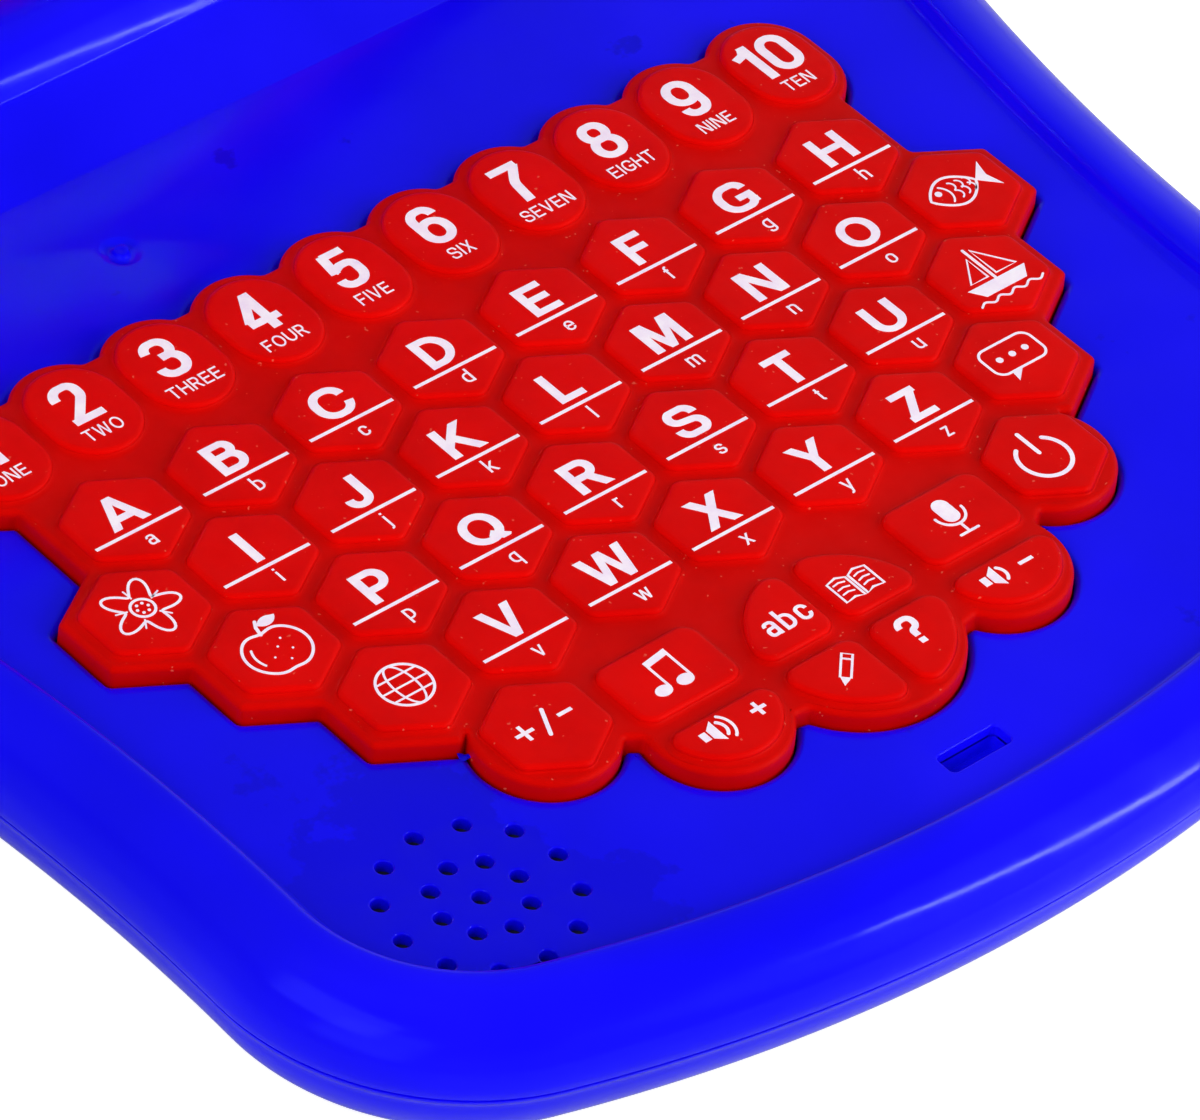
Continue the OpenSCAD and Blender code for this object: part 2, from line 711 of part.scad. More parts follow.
module keypad_mat() {
    skirt_out = 0.2;
    color(RED) {
        difference() {
            union() {
                slab(flange_z, web_z) mat_outline(0);
                slab(flange_z, deck_low_z) mat_outline(mat_flange);
            }
            slab(flange_z - 1, web_z + 1) all_keys_2d(key_gap);
        }
        difference() {
            slab(board_z, flange_z) mat_outline(mat_flange);
            slab(board_z - 1, flange_z + 1) mat_outline(skirt_out);
        }
    }
}

module key_board() {
    color("#1F6B3A") difference() {
        slab(board_low_z, board_z) polygon([
            [-board_half_w, board_rear_y], [board_half_w, board_rear_y],
            [board_half_w, board_side_y], board_front,
            [-board_front[0], board_front[1]], [-board_half_w, board_side_y]]);
        both_sides() for (p = pegs) translate(p)
            slab(board_low_z - 1, board_z + 1) circle(d = peg_d + 0.2);
    }
}

module sound_chip() {
    color("#181818") translate([20, -30, board_low_z - 1.4]) cylinder(h = 1.4, d1 = 11, d2 = 18);
}

module speaker() {
    color("#33363A") translate([speaker_x, speaker_y, deck_low_z]) mirror([0, 0, 1]) {
        cylinder(h = 1.2, d = speaker_d);
        translate([0, 0, 1.2]) cylinder(h = speaker_h / 2 - 1.2, d1 = speaker_d - 4, d2 = magnet_d + 3);
        translate([0, 0, speaker_h / 2]) cylinder(h = speaker_h / 2, d = magnet_d);
    }
}

// batteries -----------------------------------------------------------------

nub_l = 1;
nub_d = 5.5;
plate_t = 0.4;
contact_w = 9;
spring_d = 7;

module batteries() {
    color("#C9A227") for (i = [0:2]) translate([0, cells_y[i], cell_z]) mirror([i % 2, 0, 0]) {
        along_x(-cell_l / 2, cell_l / 2 - nub_l) circle(d = cell_d);
        along_x(cell_l / 2 - nub_l, cell_l / 2) circle(d = nub_d);
    }
}

module battery_contacts() {
    plate = [plate_t, contact_w, contact_w];
    spring_room = contact_room - plate_t;
    color(STEEL) for (i = [0:2]) translate([0, cells_y[i], cell_z]) mirror([i % 2, 0, 0]) {
        translate([-box_half_w, -plate[1] / 2, -plate[2] / 2]) cube(plate);
        translate([box_half_w - plate_t, -plate[1] / 2, -plate[2] / 2]) cube(plate);
        along_x(-box_half_w + plate_t, -box_half_w + plate_t + spring_room / 2) circle(d = spring_d);
        along_x(-box_half_w + plate_t + spring_room / 2, -cell_l / 2) circle(d = spring_d - 2);
        along_x(cell_l / 2, box_half_w - plate_t) circle(d = nub_d - 1);
    }
}

module battery_door() {
    color(BLUE) difference() {
        union() {
            slab(tray_z, tray_z + door_t) door_2d(0);
            translate([tab_x, cell_y]) slab(tray_z, tray_z + door_t + door_boss_t) circle(d = tab_d);
            for (x = [-1, 1]) translate([x * (box_half_w - 5), cell_y])
                slab(tray_z, tray_z + door_t + 1.2) square([1.2, 30], center = true);
        }
        translate([tab_x, cell_y]) {
            slab(tray_z - 1, tray_z + door_t) circle(d = screw_head_d + 0.6);
            slab(tray_z, tray_z + door_t + door_boss_t + 1) circle(d = screw_d + 0.4);
        }
        for (i = [-4:4]) translate([-box_half_w + 8, cell_y + i * 2.4, tray_z]) rotate([0, 45, 0])
            cube([0.8, 1.2, 0.8], center = true);
    }
}

// a pan-head screw standing on its head, seated under the head at height "seat"
module screw(seat, tip, head_d, shank_d) {
    slab(seat - screw_head_h, seat) circle(d = head_d);
    slab(seat - 0.5, tip) circle(d = shank_d);
}

module cross_slot(z, depth) {
    for (a = [0, 90]) rotate(a) translate([0, 0, z + depth / 2]) cube([2.8, 0.7, depth], center = true);
}

module battery_door_screw() {
    seat = tray_z + door_t;
    color(STEEL) translate([tab_x, cell_y]) difference() {
        screw(seat, tray_z + 8, screw_head_d - 0.4, screw_d);
        cross_slot(seat - screw_head_h - 0.01, 0.9);
    }
}

module case_screws() {
    color(STEEL) both_sides() for (p = case_screws_at) translate(p) difference() {
        screw(screw_seat_z, boss_top_z + 3, screw_head_d, screw_d);
        cross_slot(screw_seat_z - screw_head_h - 0.01, 0.9);
    }
}

module rubber_feet() {
    color("#202024") both_sides() for (p = feet_at) translate(p) {
        slab(0, tray_z + foot_pocket) circle(d = foot_d);
    }
}

module hinge_pins() {
    color(STEEL) both_sides() along_x(hump_half_w - pin_in, cheek_out_x)
        translate([hinge_y, hinge_z]) circle(d = pin_d);
}

// lid, drawn closed and then turned open about the hinge pins -----------------

module opened() {
    translate([0, hinge_y, hinge_z]) rotate([-lid_open, 0, 0])
        translate([0, -hinge_y, -hinge_z]) children();
}

lid_dome_h = 5.7;
lid_cut_x = rim_stop_x + 2.5;         // the lid's own rim stops here, clear of the hump
arm_top_in = lid_edge_r + 0.2 - sqrt(pow(lid_edge_r, 2) - pow(lid_edge_r - wall + 0.5, 2));

function lid_section() =
    let (edge_z = lid_low_z + lid_dome_h, c = [lid_edge_r, lid_top_z - lid_edge_r])
    concat(
        [[frame_in, frame_z], [frame_in, lid_low_z + 0.8], [rim_w + 0.6, lid_low_z + 0.2]],
        [for (i = [CURVE_STEPS:-1:0]) let (t = 90 * i / CURVE_STEPS)
            [rim_w - rim_w * cos(t), edge_z - lid_dome_h * sin(t)]],
        [for (i = [0:CURVE_STEPS]) let (t = 90 * i / CURVE_STEPS)
            c - lid_edge_r * [cos(t), -sin(t)]],
        [[frame_in + 1.5, lid_top_z], [frame_in + 1.5, lid_in_z]],
        [for (i = [CURVE_STEPS:-1:0]) let (t = 90 * i / CURVE_STEPS)
            c - (lid_edge_r - wall) * [cos(t), -sin(t)]],
        [for (i = [0:CURVE_STEPS]) let (t = 90 * i / CURVE_STEPS)
            [rim_w - 1 - (rim_w - 1 - wall) * cos(t), edge_z + wall / 2 - (lid_dome_h - 1) * sin(t)]],
        [[frame_in - wall, frame_z]]);

module lid_rim_ends() {
    both_sides() along_x(lid_cut_x, lid_cut_x + wall) polygon(concat(
        [[lid_rear_y - frame_in, frame_z], [lid_rear_y - frame_in, lid_low_z + 1]],
        [for (i = [CURVE_STEPS:-1:0]) let (t = 90 * i / CURVE_STEPS)
            [lid_rear_y - 0.3 - (rim_w - rim_w * cos(t)),
             lid_low_z + lid_dome_h + 0.3 - lid_dome_h * sin(t)]],
        [[lid_rear_y - 0.3, frame_z]]));
}

// where a lid arm runs into the lid: "back" in front of the lid's rear edge, up to "top"
module arm_root(back, top) {
    translate([hinge_y - arm_r, hinge_z])
        square([lid_rear_y - back - hinge_y + arm_r, top - hinge_z]);
}

module lid_shell() {
    color(BLUE) opened() difference() {
        union() {
            difference() {
                union() {
                    carried(lid_rear_y, lid_corner_r, lid_section());
                    slab(lid_in_z, lid_top_z) outline(lid_rear_y, lid_corner_r, frame_in + 1);
                }
                block([-lid_cut_x, lid_rear_y - frame_in - 2, lid_low_z - 1],
                      [lid_cut_x, lid_rear_y + 1, frame_z]);
            }
            lid_rim_ends();
            slab(card_z + card_t, lid_in_z + 0.5) translate([0, screen_y]) difference() {
                round_rect(screen_w + 8, screen_h + 8, 3);
                round_rect(screen_w, screen_h, 3);
            }
            both_sides() {
                along_x(arm_x, arm_x + arm_t) {
                    hull() {
                        translate([hinge_y, hinge_z]) circle(arm_r);
                        arm_root(0, lid_top_z - lid_edge_r);
                    }
                    arm_root(arm_top_in, lid_in_z + 0.5);
                }
                for (p = lid_screws_at) translate(p)
                    slab(lid_in_z - 1.2, lid_top_z) circle(d = lid_head_d + 3);
            }
        }
        both_sides() {
            along_x(arm_x - 1, arm_x + arm_t + 1)
                translate([hinge_y, hinge_z]) circle(d = pin_d + 2 * pin_gap);
            for (p = lid_screws_at) translate(p) {
                slab(lid_top_z - lid_seat, lid_top_z + 1) circle(d = lid_head_d + 0.6);
                slab(lid_in_z - 2, lid_top_z) circle(d = screw_d + 0.4);
            }
        }
    }
}

module lid_frame() {
    color(RED) opened() difference() {
        union() {
            difference() {
                slab(frame_z, window_z) {
                    outline(lid_rear_y, lid_corner_r, frame_in - wall + 0.3);
                    square_to(lid_cut_x - 0.3, 60, lid_rear_y - wall - 0.8);
                }
                slab(frame_z - 1, window_z + 1) translate([0, screen_y])
                    round_rect(screen_w, screen_h, 6);
                both_sides() block([arm_x - arm_gap, hinge_y - arm_r - 0.4, frame_z - 1],
                                   [cheek_x, lid_rear_y + 1, window_z + 1]);
            }
            slab(window_z, card_z + card_t) translate([0, screen_y]) difference() {
                round_rect(screen_w + 2 * screen_seat + 3, screen_h + 2 * screen_seat + 3, 4.5);
                round_rect(screen_w + 2 * screen_seat + 0.4, screen_h + 2 * screen_seat + 0.4, 3);
            }
            both_sides() for (p = lid_screws_at) translate(p)
                slab(window_z, lid_in_z - 1.2) circle(d = lid_boss_d);
            slab(deck_low_z - 1.5, frame_z + 0.5) translate([0, latch_y])
                square([latch_w, latch_t], center = true);
        }
        both_sides() for (p = lid_screws_at) translate(p)
            slab(frame_z + 0.8, lid_in_z) circle(d = screw_d + 2 * pilot_gap);
    }
}

module lid_window() {
    color([0.85, 0.93, 1, 0.35]) opened() slab(window_z, card_z) translate([0, screen_y])
        round_rect(screen_w + 2 * screen_seat, screen_h + 2 * screen_seat, 3);
}

module picture_card() {
    color("#F4F0E0") opened() slab(card_z, card_z + card_t) translate([0, screen_y])
        round_rect(screen_w + 2 * screen_seat - 0.4, screen_h + 2 * screen_seat - 0.4, 3);
}

module lid_screws() {
    color(STEEL) opened() both_sides() for (p = lid_screws_at) translate(p) difference() {
        union() {
            slab(lid_top_z - lid_seat, lid_top_z - 0.2) circle(d = lid_head_d);
            slab(frame_z + 1.2, lid_top_z - lid_seat) circle(d = screw_d);
        }
        cross_slot(lid_top_z - 1, 1);
    }
}

// the whole laptop ------------------------------------------------------------
// furthest point of the open lid behind the hinge, for the box's centre

lid_edge_c = [front_y + lid_edge_r - hinge_y, lid_top_z - lid_edge_r - hinge_z];
lid_back_y = hinge_y + lid_edge_c[0] * cos(lid_open) + lid_edge_c[1] * sin(lid_open) + lid_edge_r;
shift_y = -(front_y + lid_back_y) / 2;

module placed() {
    translate([0, shift_y, 0]) children();
}

placed() lower_case();
placed() upper_case();
placed() keypad_mat();
placed() key_board();
placed() sound_chip();
placed() speaker();
placed() batteries();
placed() battery_contacts();
placed() battery_door();
placed() battery_door_screw();
placed() case_screws();
placed() rubber_feet();
placed() hinge_pins();
placed() lid_shell();
placed() lid_frame();
placed() lid_window();
placed() picture_card();
placed() lid_screws();
for (l = LETTERS) placed() key_solid() {
    letter_2d(l, 0);
    letter_2d(l, key_lip);
}
for (n = NUMBERS) placed() key_solid() {
    number_2d(n, 0);
    number_2d(n, key_lip);
}
for (g = KEY_GROUPS) placed() key_solid() {
    group_2d(g, 0);
    group_2d(g, key_lip);
}
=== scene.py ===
import math

import bmesh
import bpy
import numpy as np
from mathutils import Matrix, Vector
from mathutils.geometry import delaunay_2d_cdt


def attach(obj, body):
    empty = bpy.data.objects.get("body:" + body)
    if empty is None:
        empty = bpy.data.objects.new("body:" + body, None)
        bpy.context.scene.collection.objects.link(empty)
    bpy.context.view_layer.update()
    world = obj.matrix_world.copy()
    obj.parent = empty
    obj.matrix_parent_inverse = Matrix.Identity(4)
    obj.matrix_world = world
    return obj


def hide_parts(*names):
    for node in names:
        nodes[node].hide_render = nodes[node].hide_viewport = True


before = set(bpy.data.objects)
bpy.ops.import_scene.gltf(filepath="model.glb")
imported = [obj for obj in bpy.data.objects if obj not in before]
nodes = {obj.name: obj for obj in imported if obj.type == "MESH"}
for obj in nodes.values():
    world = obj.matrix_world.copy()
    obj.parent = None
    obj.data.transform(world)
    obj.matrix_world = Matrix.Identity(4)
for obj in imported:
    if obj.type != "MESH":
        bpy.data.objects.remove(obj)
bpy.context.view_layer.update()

# All sizes are millimetres in the key plan: x from the keypad's middle line, y towards the
# hinge from a point between the first two rows of letters, z up from the table.
MM = 0.001
SHIFT_Y = -35.7607       # key plan to row frame

# heights: the deck's face and back, the rim's crest, the keypad's web and key tops, the
# bottom of the web and of the keys, the solids' parting plane, the seam and the tray's floor
DECK, DECK_LOW, CREST = 22.3, 20.3, 25.2
WEB, KEY, WEB_LOW, KEY_LOW = 24.6, 25.6, 20.4, 18.2
PART, SEAM, TRAY = 19.5, 14.3, 1.5
# outline arcs: the bowed front, the waisted sides, the front corners, the rear corners
FRONT_C, FRONT_R = np.array([0, 146.4]), 255.0
SIDE_C, SIDE_R = np.array([430.7, -44.0]), 326.0
CORNER_R = 38.5
REAR_R = 40.0
LID_REAR_Y, LID_REAR_R = 92.5, 34.0
# hinge: the pin's axis (y, z), and the radii of the hump's barrel and of the cheeks
PIN = np.array([95.3, 22.7])
LID_OPEN = math.radians(110)
BARREL_R, CHEEK_R = 10.5, 8.5
BASE_REAR_Y = PIN[0] + BARREL_R - 1.2
RIM_STOP, LID_STOP = 77.5, 80.0      # x where each rim ends beside the hinge
HUMP_X, NOTCH_X = 64.0, 72.0         # the lid arms' pockets lie between these
# keys: lattice pitch and row spacing, rows' places, half the groove between two keys
PITCH, ROW = 18.5, 15.5
ROW0_Y, NUMBER_Y, NUMBER_PITCH = 10.6, 30.6, 15.9
GROOVE = 1.1
DISC_R, VOLUME_R = 14.3, 9.1         # the disc of mode keys, the half-round volume keys
HEX_TURN, QUARTER_TURN, SONG_TURN, HALF_TURN = 2.0, 2.4, 2.5, 2.2     # corner radii of keys
LETTER_ROWS = ["abcdefgh", "ijklmno", "pqrstu", "vwxyz"]
NUMBER_WORDS = ["ONE", "TWO", "THREE", "FOUR", "FIVE", "SIX", "SEVEN", "EIGHT", "NINE", "TEN"]
CORNER_KEY, SONG_KEY, VOLUME_C, DISC_C = (45.2, -52.3), (25.8, -54.4), (25.4, -63.4), (0, -62.1)
# openings in the deck
SPEAKER = np.array([-70.6, -69.0])
HOLE_R = 1.2                         # the speaker's holes
LATCH = np.array([0, -86.7])
GATE = np.array([-28.5, 55.8])


# ---------------------------------------------------------------- materials

def linear(code):
    """sRGB hex to linear RGBA: c/12.92 below 0.04045, else ((c + 0.055) / 1.055) ** 2.4."""
    c = np.array([int(code[i:i + 2], 16) for i in (1, 3, 5)]) / 255
    return [*np.where(c <= 0.04045, c / 12.92, ((c + 0.055) / 1.055) ** 2.4), 1.0]


def node(tree, kind, settings=(), sockets=(), links=()):
    """Adds a node: settings are its own values, sockets its input values, links (input, output)."""
    n = tree.nodes.new(kind)
    for key, value in dict(settings).items():
        setattr(n, key, value)
    for key, value in dict(sockets).items():
        n.inputs[key].default_value = value
    for key, source in dict(links).items():
        tree.links.new(source, n.inputs[key])
    return n


def new_material(name, **sockets):
    """A principled material: its tree, its shader and the piece's own Object coordinates."""
    m = bpy.data.materials.new(name)
    m.use_nodes = True
    tree = m.node_tree
    shader = tree.nodes["Principled BSDF"]
    for key, value in sockets.items():
        shader.inputs[key.replace("_", " ")].default_value = value
    place = node(tree, "ShaderNodeTexCoord").outputs["Object"]
    return m, tree, shader, place


def noise(tree, place, size_mm, detail=3.0, rough=0.5, **settings):
    """Noise whose features are size_mm across."""
    return node(tree, "ShaderNodeTexNoise", settings,
                {"Scale": 1 / (size_mm * MM), "Detail": detail, "Roughness": rough},
                {"Vector": place}).outputs["Fac"]


def ramp(tree, fac, stops):
    """Colour ramp; stops are (place, hex colour or grey value)."""
    r = node(tree, "ShaderNodeValToRGB", links={"Fac": fac})
    e = r.color_ramp.elements
    while len(e) < len(stops):
        e.new(0.5)
    for k, (at, colour) in enumerate(stops):
        e[k].position = at
        e[k].color = linear(colour) if isinstance(colour, str) else [colour] * 3 + [1]
    return r.outputs["Color"]


def bump(tree, shader, layers):
    """Stacks bumps; layers are (height, distance in mm, strength)."""
    last = None
    for height, mm, strength in layers:
        links = {"Height": height}
        if last:
            links["Normal"] = last
        last = node(tree, "ShaderNodeBump", sockets={"Strength": strength, "Distance": mm * MM},
                    links=links).outputs["Normal"]
    tree.links.new(last, shader.inputs["Normal"])


# the flow mark's darker blue is a painted reflection; only its faint bump is real
MARK_AT = (-0.072, -0.102, 0.022)    # metres in the row frame: middle of the deck's flow mark


def glossy_abs(name, dark, body, light, tint, patch=None):
    """Injection-moulded ABS off a polished tool: clear reflections, slow flow waves that bend them, and faint
    rubbed patches. With a patch colour it also has a ragged patch round the speaker grille: a flow mark from
    the melt, real as a faint bump, with its darker colour a painted reflection of the mark's changed sheen."""
    m, tree, shader, place = new_material(name, IOR=1.46, Specular_Tint=linear(tint))
    flow = noise(tree, place, 38, 2.0)
    colour = ramp(tree, flow, [(0.3, dark), (0.5, body), (0.72, light)])
    layers = [(flow, 1.2, 0.2), (noise(tree, place, 5.5, 2.0), 0.1, 0.25)]
    if patch:
        far = node(tree, "ShaderNodeVectorMath", {"operation": "DISTANCE"},
                   {1: MARK_AT}, {0: place}).outputs["Value"]
        near = node(tree, "ShaderNodeMapRange", sockets={"From Min": 0.012, "From Max": 0.036,
                                                         "To Min": 0.16, "To Max": -0.16},
                    links={"Value": far}).outputs[0]
        ragged = node(tree, "ShaderNodeMath", {"operation": "ADD"},
                      links={0: noise(tree, place, 17, 5.0, 0.6), 1: near}).outputs[0]
        mark = ramp(tree, ragged, [(0.5, 0.0), (0.53, 1.0)])
        # the patch colour is painted reflection: the flow mark's change of sheen, painted as darker blue
        colour = node(tree, "ShaderNodeMix", {"data_type": "RGBA"}, {7: linear(patch)},
                     {0: mark, 6: colour}).outputs[2]
        layers.append((mark, 0.01, 0.3))
    tree.links.new(colour, shader.inputs["Base Color"])
    rub = noise(tree, place, 9, 6.0, 0.62)
    tree.links.new(ramp(tree, rub, [(0.35, 0.12), (0.62, 0.17), (0.8, 0.3)]),
                   shader.inputs["Roughness"])
    bump(tree, shader, layers + [(noise(tree, place, 0.35, 2.0), 0.008, 0.2)])
    return m


def soft_silicone(name, dark, body, light):
    """Compression-moulded silicone rubber: matt, with a fine even grain from the
    spark-eroded tool and pale specks of dust that cling to it."""
    m, tree, shader, place = new_material(
        name, IOR=1.41, Specular_Tint=linear("#FF3018"), Roughness=0.55)
    cloud = noise(tree, place, 14, 4.0, 0.6)
    colour = ramp(tree, cloud, [(0.25, dark), (0.5, body), (0.78, light)])
    speck = ramp(tree, noise(tree, place, 0.9, 1.0), [(0.755, 0.0), (0.79, 0.5)])
    mixed = node(tree, "ShaderNodeMix", {"data_type": "RGBA"}, {7: linear("#E86A52")},
                 {0: speck, 6: colour}).outputs[2]
    tree.links.new(mixed, shader.inputs["Base Color"])
    tree.links.new(ramp(tree, noise(tree, place, 4, 4.0), [(0.3, 0.45), (0.75, 0.62)]),
                   shader.inputs["Roughness"])
    bump(tree, shader, [(noise(tree, place, 6, 2.0), 0.15, 0.3),
                        (noise(tree, place, 0.3, 3.0), 0.03, 0.45)])
    return m


def plain_finish(name, dark, light, size_mm, rough, bump_mm=0.01, metallic=0.0, **sockets):
    """A finish whose colour drifts between two shades over size_mm."""
    m, tree, shader, place = new_material(name, Metallic=metallic, **sockets)
    fac = noise(tree, place, size_mm, 4.0, 0.6)
    tree.links.new(ramp(tree, fac, [(0.3, dark), (0.7, light)]), shader.inputs["Base Color"])
    tree.links.new(ramp(tree, fac, [(0.3, rough * 0.8), (0.75, rough * 1.15)]),
                   shader.inputs["Roughness"])
    bump(tree, shader, [(noise(tree, place, size_mm / 8, 3.0), bump_mm, 0.4)])
    return m


def clear_sheet(name):
    """Clear polystyrene sheet: see-through, with a polished face and hair scratches."""
    m, tree, shader, place = new_material(name, IOR=1.59, Transmission_Weight=1.0)
    tree.links.new(ramp(tree, noise(tree, place, 20, 5.0), [(0.3, "#F4FAFF"), (0.7, "#FFFFFF")]),
                   shader.inputs["Base Color"])
    tree.links.new(ramp(tree, noise(tree, place, 2, 6.0, 0.7), [(0.45, 0.02), (0.8, 0.12)]),
                   shader.inputs["Roughness"])
    return m


# shades of one finish run dark, body, light; the last colour tints its reflections
BLUE = "#0903E6", "#0C03F2", "#1206FB", "#7C88FF"
blue_abs = glossy_abs("blue_abs_moulded", *BLUE)
# the deck's copy adds the flow mark round the grille, whose darker blue is a painted reflection
blue_abs_deck = glossy_abs("blue_abs_moulded_deck", *BLUE, "#0902DA")
red_abs = glossy_abs("red_abs_moulded", "#C00303", "#CC0404", "#D60606", "#FF3A26")
# one silicone in two copies: the web's shades, darker than the keys', are painted shade for the web lying low
# between the keys
key_silicone = soft_silicone("red_silicone_keys", "#C80202", "#D40302", "#DE0503")
web_silicone = soft_silicone("red_silicone_web", "#BA0201", "#C60301", "#D00402")
# pad-printed white ink with the lavender cast of a thin coat over red
white_ink = plain_finish("white_pad_print", "#F0E0F6", "#FBF4FD", 2.5, 0.4, 0.008)
# zinc plate on steel: bright grey, slightly mottled
zinc_steel = plain_finish("zinc_plated_steel", "#B9BCC0", "#D8DADC", 1.5, 0.3, 0.01, 1.0)
# glass fibre under green lacquer, slightly uneven
board_green = plain_finish("solder_masked_glass_fibre", "#0E4A24", "#17603A", 6, 0.35, 0.02)
# a cured drop of epoxy: half gloss, slightly wavy
black_epoxy = plain_finish("black_epoxy_blob", "#0C0C0D", "#1B1B1D", 3, 0.4, 0.05)
# thin black paint on pressed steel
speaker_steel = plain_finish("black_painted_steel", "#1C1D1F", "#2C2E31", 3, 0.45, 0.02)
# shrunk film on a dry cell: glossy, in two close shades
cell_wrap = plain_finish("shrink_wrapped_cell", "#9A6A12", "#C48A1C", 8, 0.25, 0.01)
# moulded rubber: matt, finely pitted
foot_rubber = plain_finish("black_moulded_rubber", "#161617", "#242426", 2, 0.7, 0.05)
# uncoated card: matt and warm
card_white = plain_finish("matt_printed_card", "#F4EFDD", "#FBF8EC", 12, 0.7, 0.01)
window_clear = clear_sheet("clear_polystyrene_sheet")


# ------------------------------------------------------------------- meshes

def piece(name, points, faces, material, body, replaces=(), crease=35, tidy=True):
    """A mesh from key-plan millimetres; faces is a list of index lists. Edges steeper than
    crease degrees stay sharp. tidy welds doubled points and turns all faces outwards."""
    p = np.array(points, float).reshape(-1, 3).copy()
    p[:, 1] += SHIFT_Y
    me = bpy.data.meshes.new(name)
    me.from_pydata((p * MM).tolist(), [], [list(map(int, f)) for f in faces])
    if tidy:
        b = bmesh.new()
        b.from_mesh(me)
        bmesh.ops.remove_doubles(b, verts=b.verts, dist=2e-6)
        bmesh.ops.recalc_face_normals(b, faces=b.faces)
        b.to_mesh(me)
        b.free()
    me.shade_smooth()
    me.set_sharp_from_angle(angle=math.radians(crease))
    me.materials.append(material)
    o = bpy.data.objects.new(name, me)
    bpy.context.scene.collection.objects.link(o)
    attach(o, body)
    if replaces:
        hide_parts(*replaces)
    return o


def grid_faces(rows, cols, wrap_rows=False, wrap_cols=False, start=0):
    """Quads of a rows x cols grid of vertices whose first index is start."""
    r = np.arange(rows if wrap_rows else rows - 1)
    c = np.arange(cols if wrap_cols else cols - 1)
    r, c = np.meshgrid(r, c, indexing="ij")
    r2, c2 = (r + 1) % rows, (c + 1) % cols
    q = np.stack([r * cols + c, r * cols + c2, r2 * cols + c2, r2 * cols + c], -1)
    return (q.reshape(-1, 4) + start).tolist()


def arc(centre, r, a0, a1, n):
    """Points on a circle from angle a0 to a1, in degrees."""
    t = np.radians(np.linspace(a0, a1, n))
    return np.asarray(centre, float) + r * np.stack([np.cos(t), np.sin(t)], -1)


def circle(c, r, n=40):
    """A closed ring of n points: c + r (cos, sin)."""
    return arc(c, r, 0, 360, n + 1)[:-1]


def round_rect(c, w, h, r, n=8):
    """A rectangle w by h about c, its corners arcs of radius r."""
    q = [arc((c[0] + sx * (w / 2 - r), c[1] + sy * (h / 2 - r)), r, a, a + 90, n)
         for sx, sy, a in ((1, 1, 0), (-1, 1, 90), (-1, -1, 180), (1, -1, 270))]
    return np.vstack(q)


def rounded_lip(r, n=5):
    """Quarter round of radius r from the face over the edge: (r (1 - sin t), r (1 - cos t))."""
    t = np.radians(np.linspace(0, 90, n))
    return np.stack([r * (1 - np.sin(t)), r * (1 - np.cos(t))], -1)


def heading(v):
    """The direction of a vector, in degrees."""
    return math.degrees(math.atan2(v[1], v[0]))


def crossing(c1, r1, c2, r2):
    """Where two circles cross, right of the line from c1 to c2: a along it, h beside it."""
    v = c2 - c1
    d = np.linalg.norm(v)
    a = (r1 * r1 - r2 * r2 + d * d) / (2 * d)
    h = math.sqrt(r1 * r1 - a * a)
    u = v / d
    return c1 + a * u + h * np.array([u[1], -u[0]])


CORNER_C = crossing(FRONT_C, FRONT_R - CORNER_R, SIDE_C, SIDE_R + CORNER_R)


def outline(rear_y, rear_r, stop, step=2.0):
    """Points and outward normals round the case, clockwise from (stop, rear) by the
    right side and the front to (-stop, rear): tangent arcs, each centre + r (cos, sin)."""
    cy = rear_y - rear_r
    rear_c = np.array([SIDE_C[0] - math.sqrt((SIDE_R + rear_r) ** 2 - (cy - SIDE_C[1]) ** 2), cy])
    a1, a2 = heading(CORNER_C - FRONT_C), heading(SIDE_C - CORNER_C)
    a3 = heading(SIDE_C - rear_c)
    points, normals = [], []
    k = max(2, int((rear_c[0] - stop) / step) + 2)
    x = np.linspace(stop, rear_c[0], k)[:-1]
    points.append(np.stack([x, np.full_like(x, rear_y)], -1))
    normals.append(np.tile([0.0, 1.0], (len(x), 1)))
    for c, r, t0, t1, out in ((rear_c, rear_r, 90, a3, 1), (SIDE_C, SIDE_R, 180 + a3, 180 + a2, -1),
                              (CORNER_C, CORNER_R, a2, a1, 1), (FRONT_C, FRONT_R, a1, -90, 1)):
        finer = 1.8 if r < 60 else 1     # tight arcs get closer points
        n = int(abs(math.radians(t1 - t0)) * r / step * finer) + 3
        p = arc(c, r, t0, t1, n)[:-1]
        points.append(p)
        normals.append(out * (p - c) / r)
    p, n = np.vstack(points), np.vstack(normals)
    middle = np.array([[0, FRONT_C[1] - FRONT_R]]), np.array([[0.0, -1.0]])
    flip = np.array([-1, 1])
    return (np.vstack([p, middle[0], p[::-1] * flip]), np.vstack([n, middle[1], n[::-1] * flip]))


def opened(p):
    """Closed-lid points turned open about the hinge pin."""
    p = np.array(p, float)
    c, s = math.cos(-LID_OPEN), math.sin(-LID_OPEN)
    y, z = p[..., 1] - PIN[0], p[..., 2] - PIN[1]
    q = p.copy()
    q[..., 1], q[..., 2] = PIN[0] + c * y - s * z, PIN[1] + s * y + c * z
    return q


def carried(path, normals, section, closed):
    """The wall section (inset, z) carried along the outline: p - inset * n at height z.
    Returns points and faces, with flat ends if the path is open."""
    s = np.asarray(section, float)
    xy = path[:, None] - s[None, :, :1] * normals[:, None]
    pts = np.concatenate([xy, np.broadcast_to(s[None, :, 1:], xy[..., :1].shape)], -1)
    rows, cols = pts.shape[:2]
    faces = grid_faces(rows, cols, closed, True)
    if not closed:
        faces += [list(range(cols)), list(range((rows - 1) * cols, rows * cols))]
    return pts.reshape(-1, 3), faces


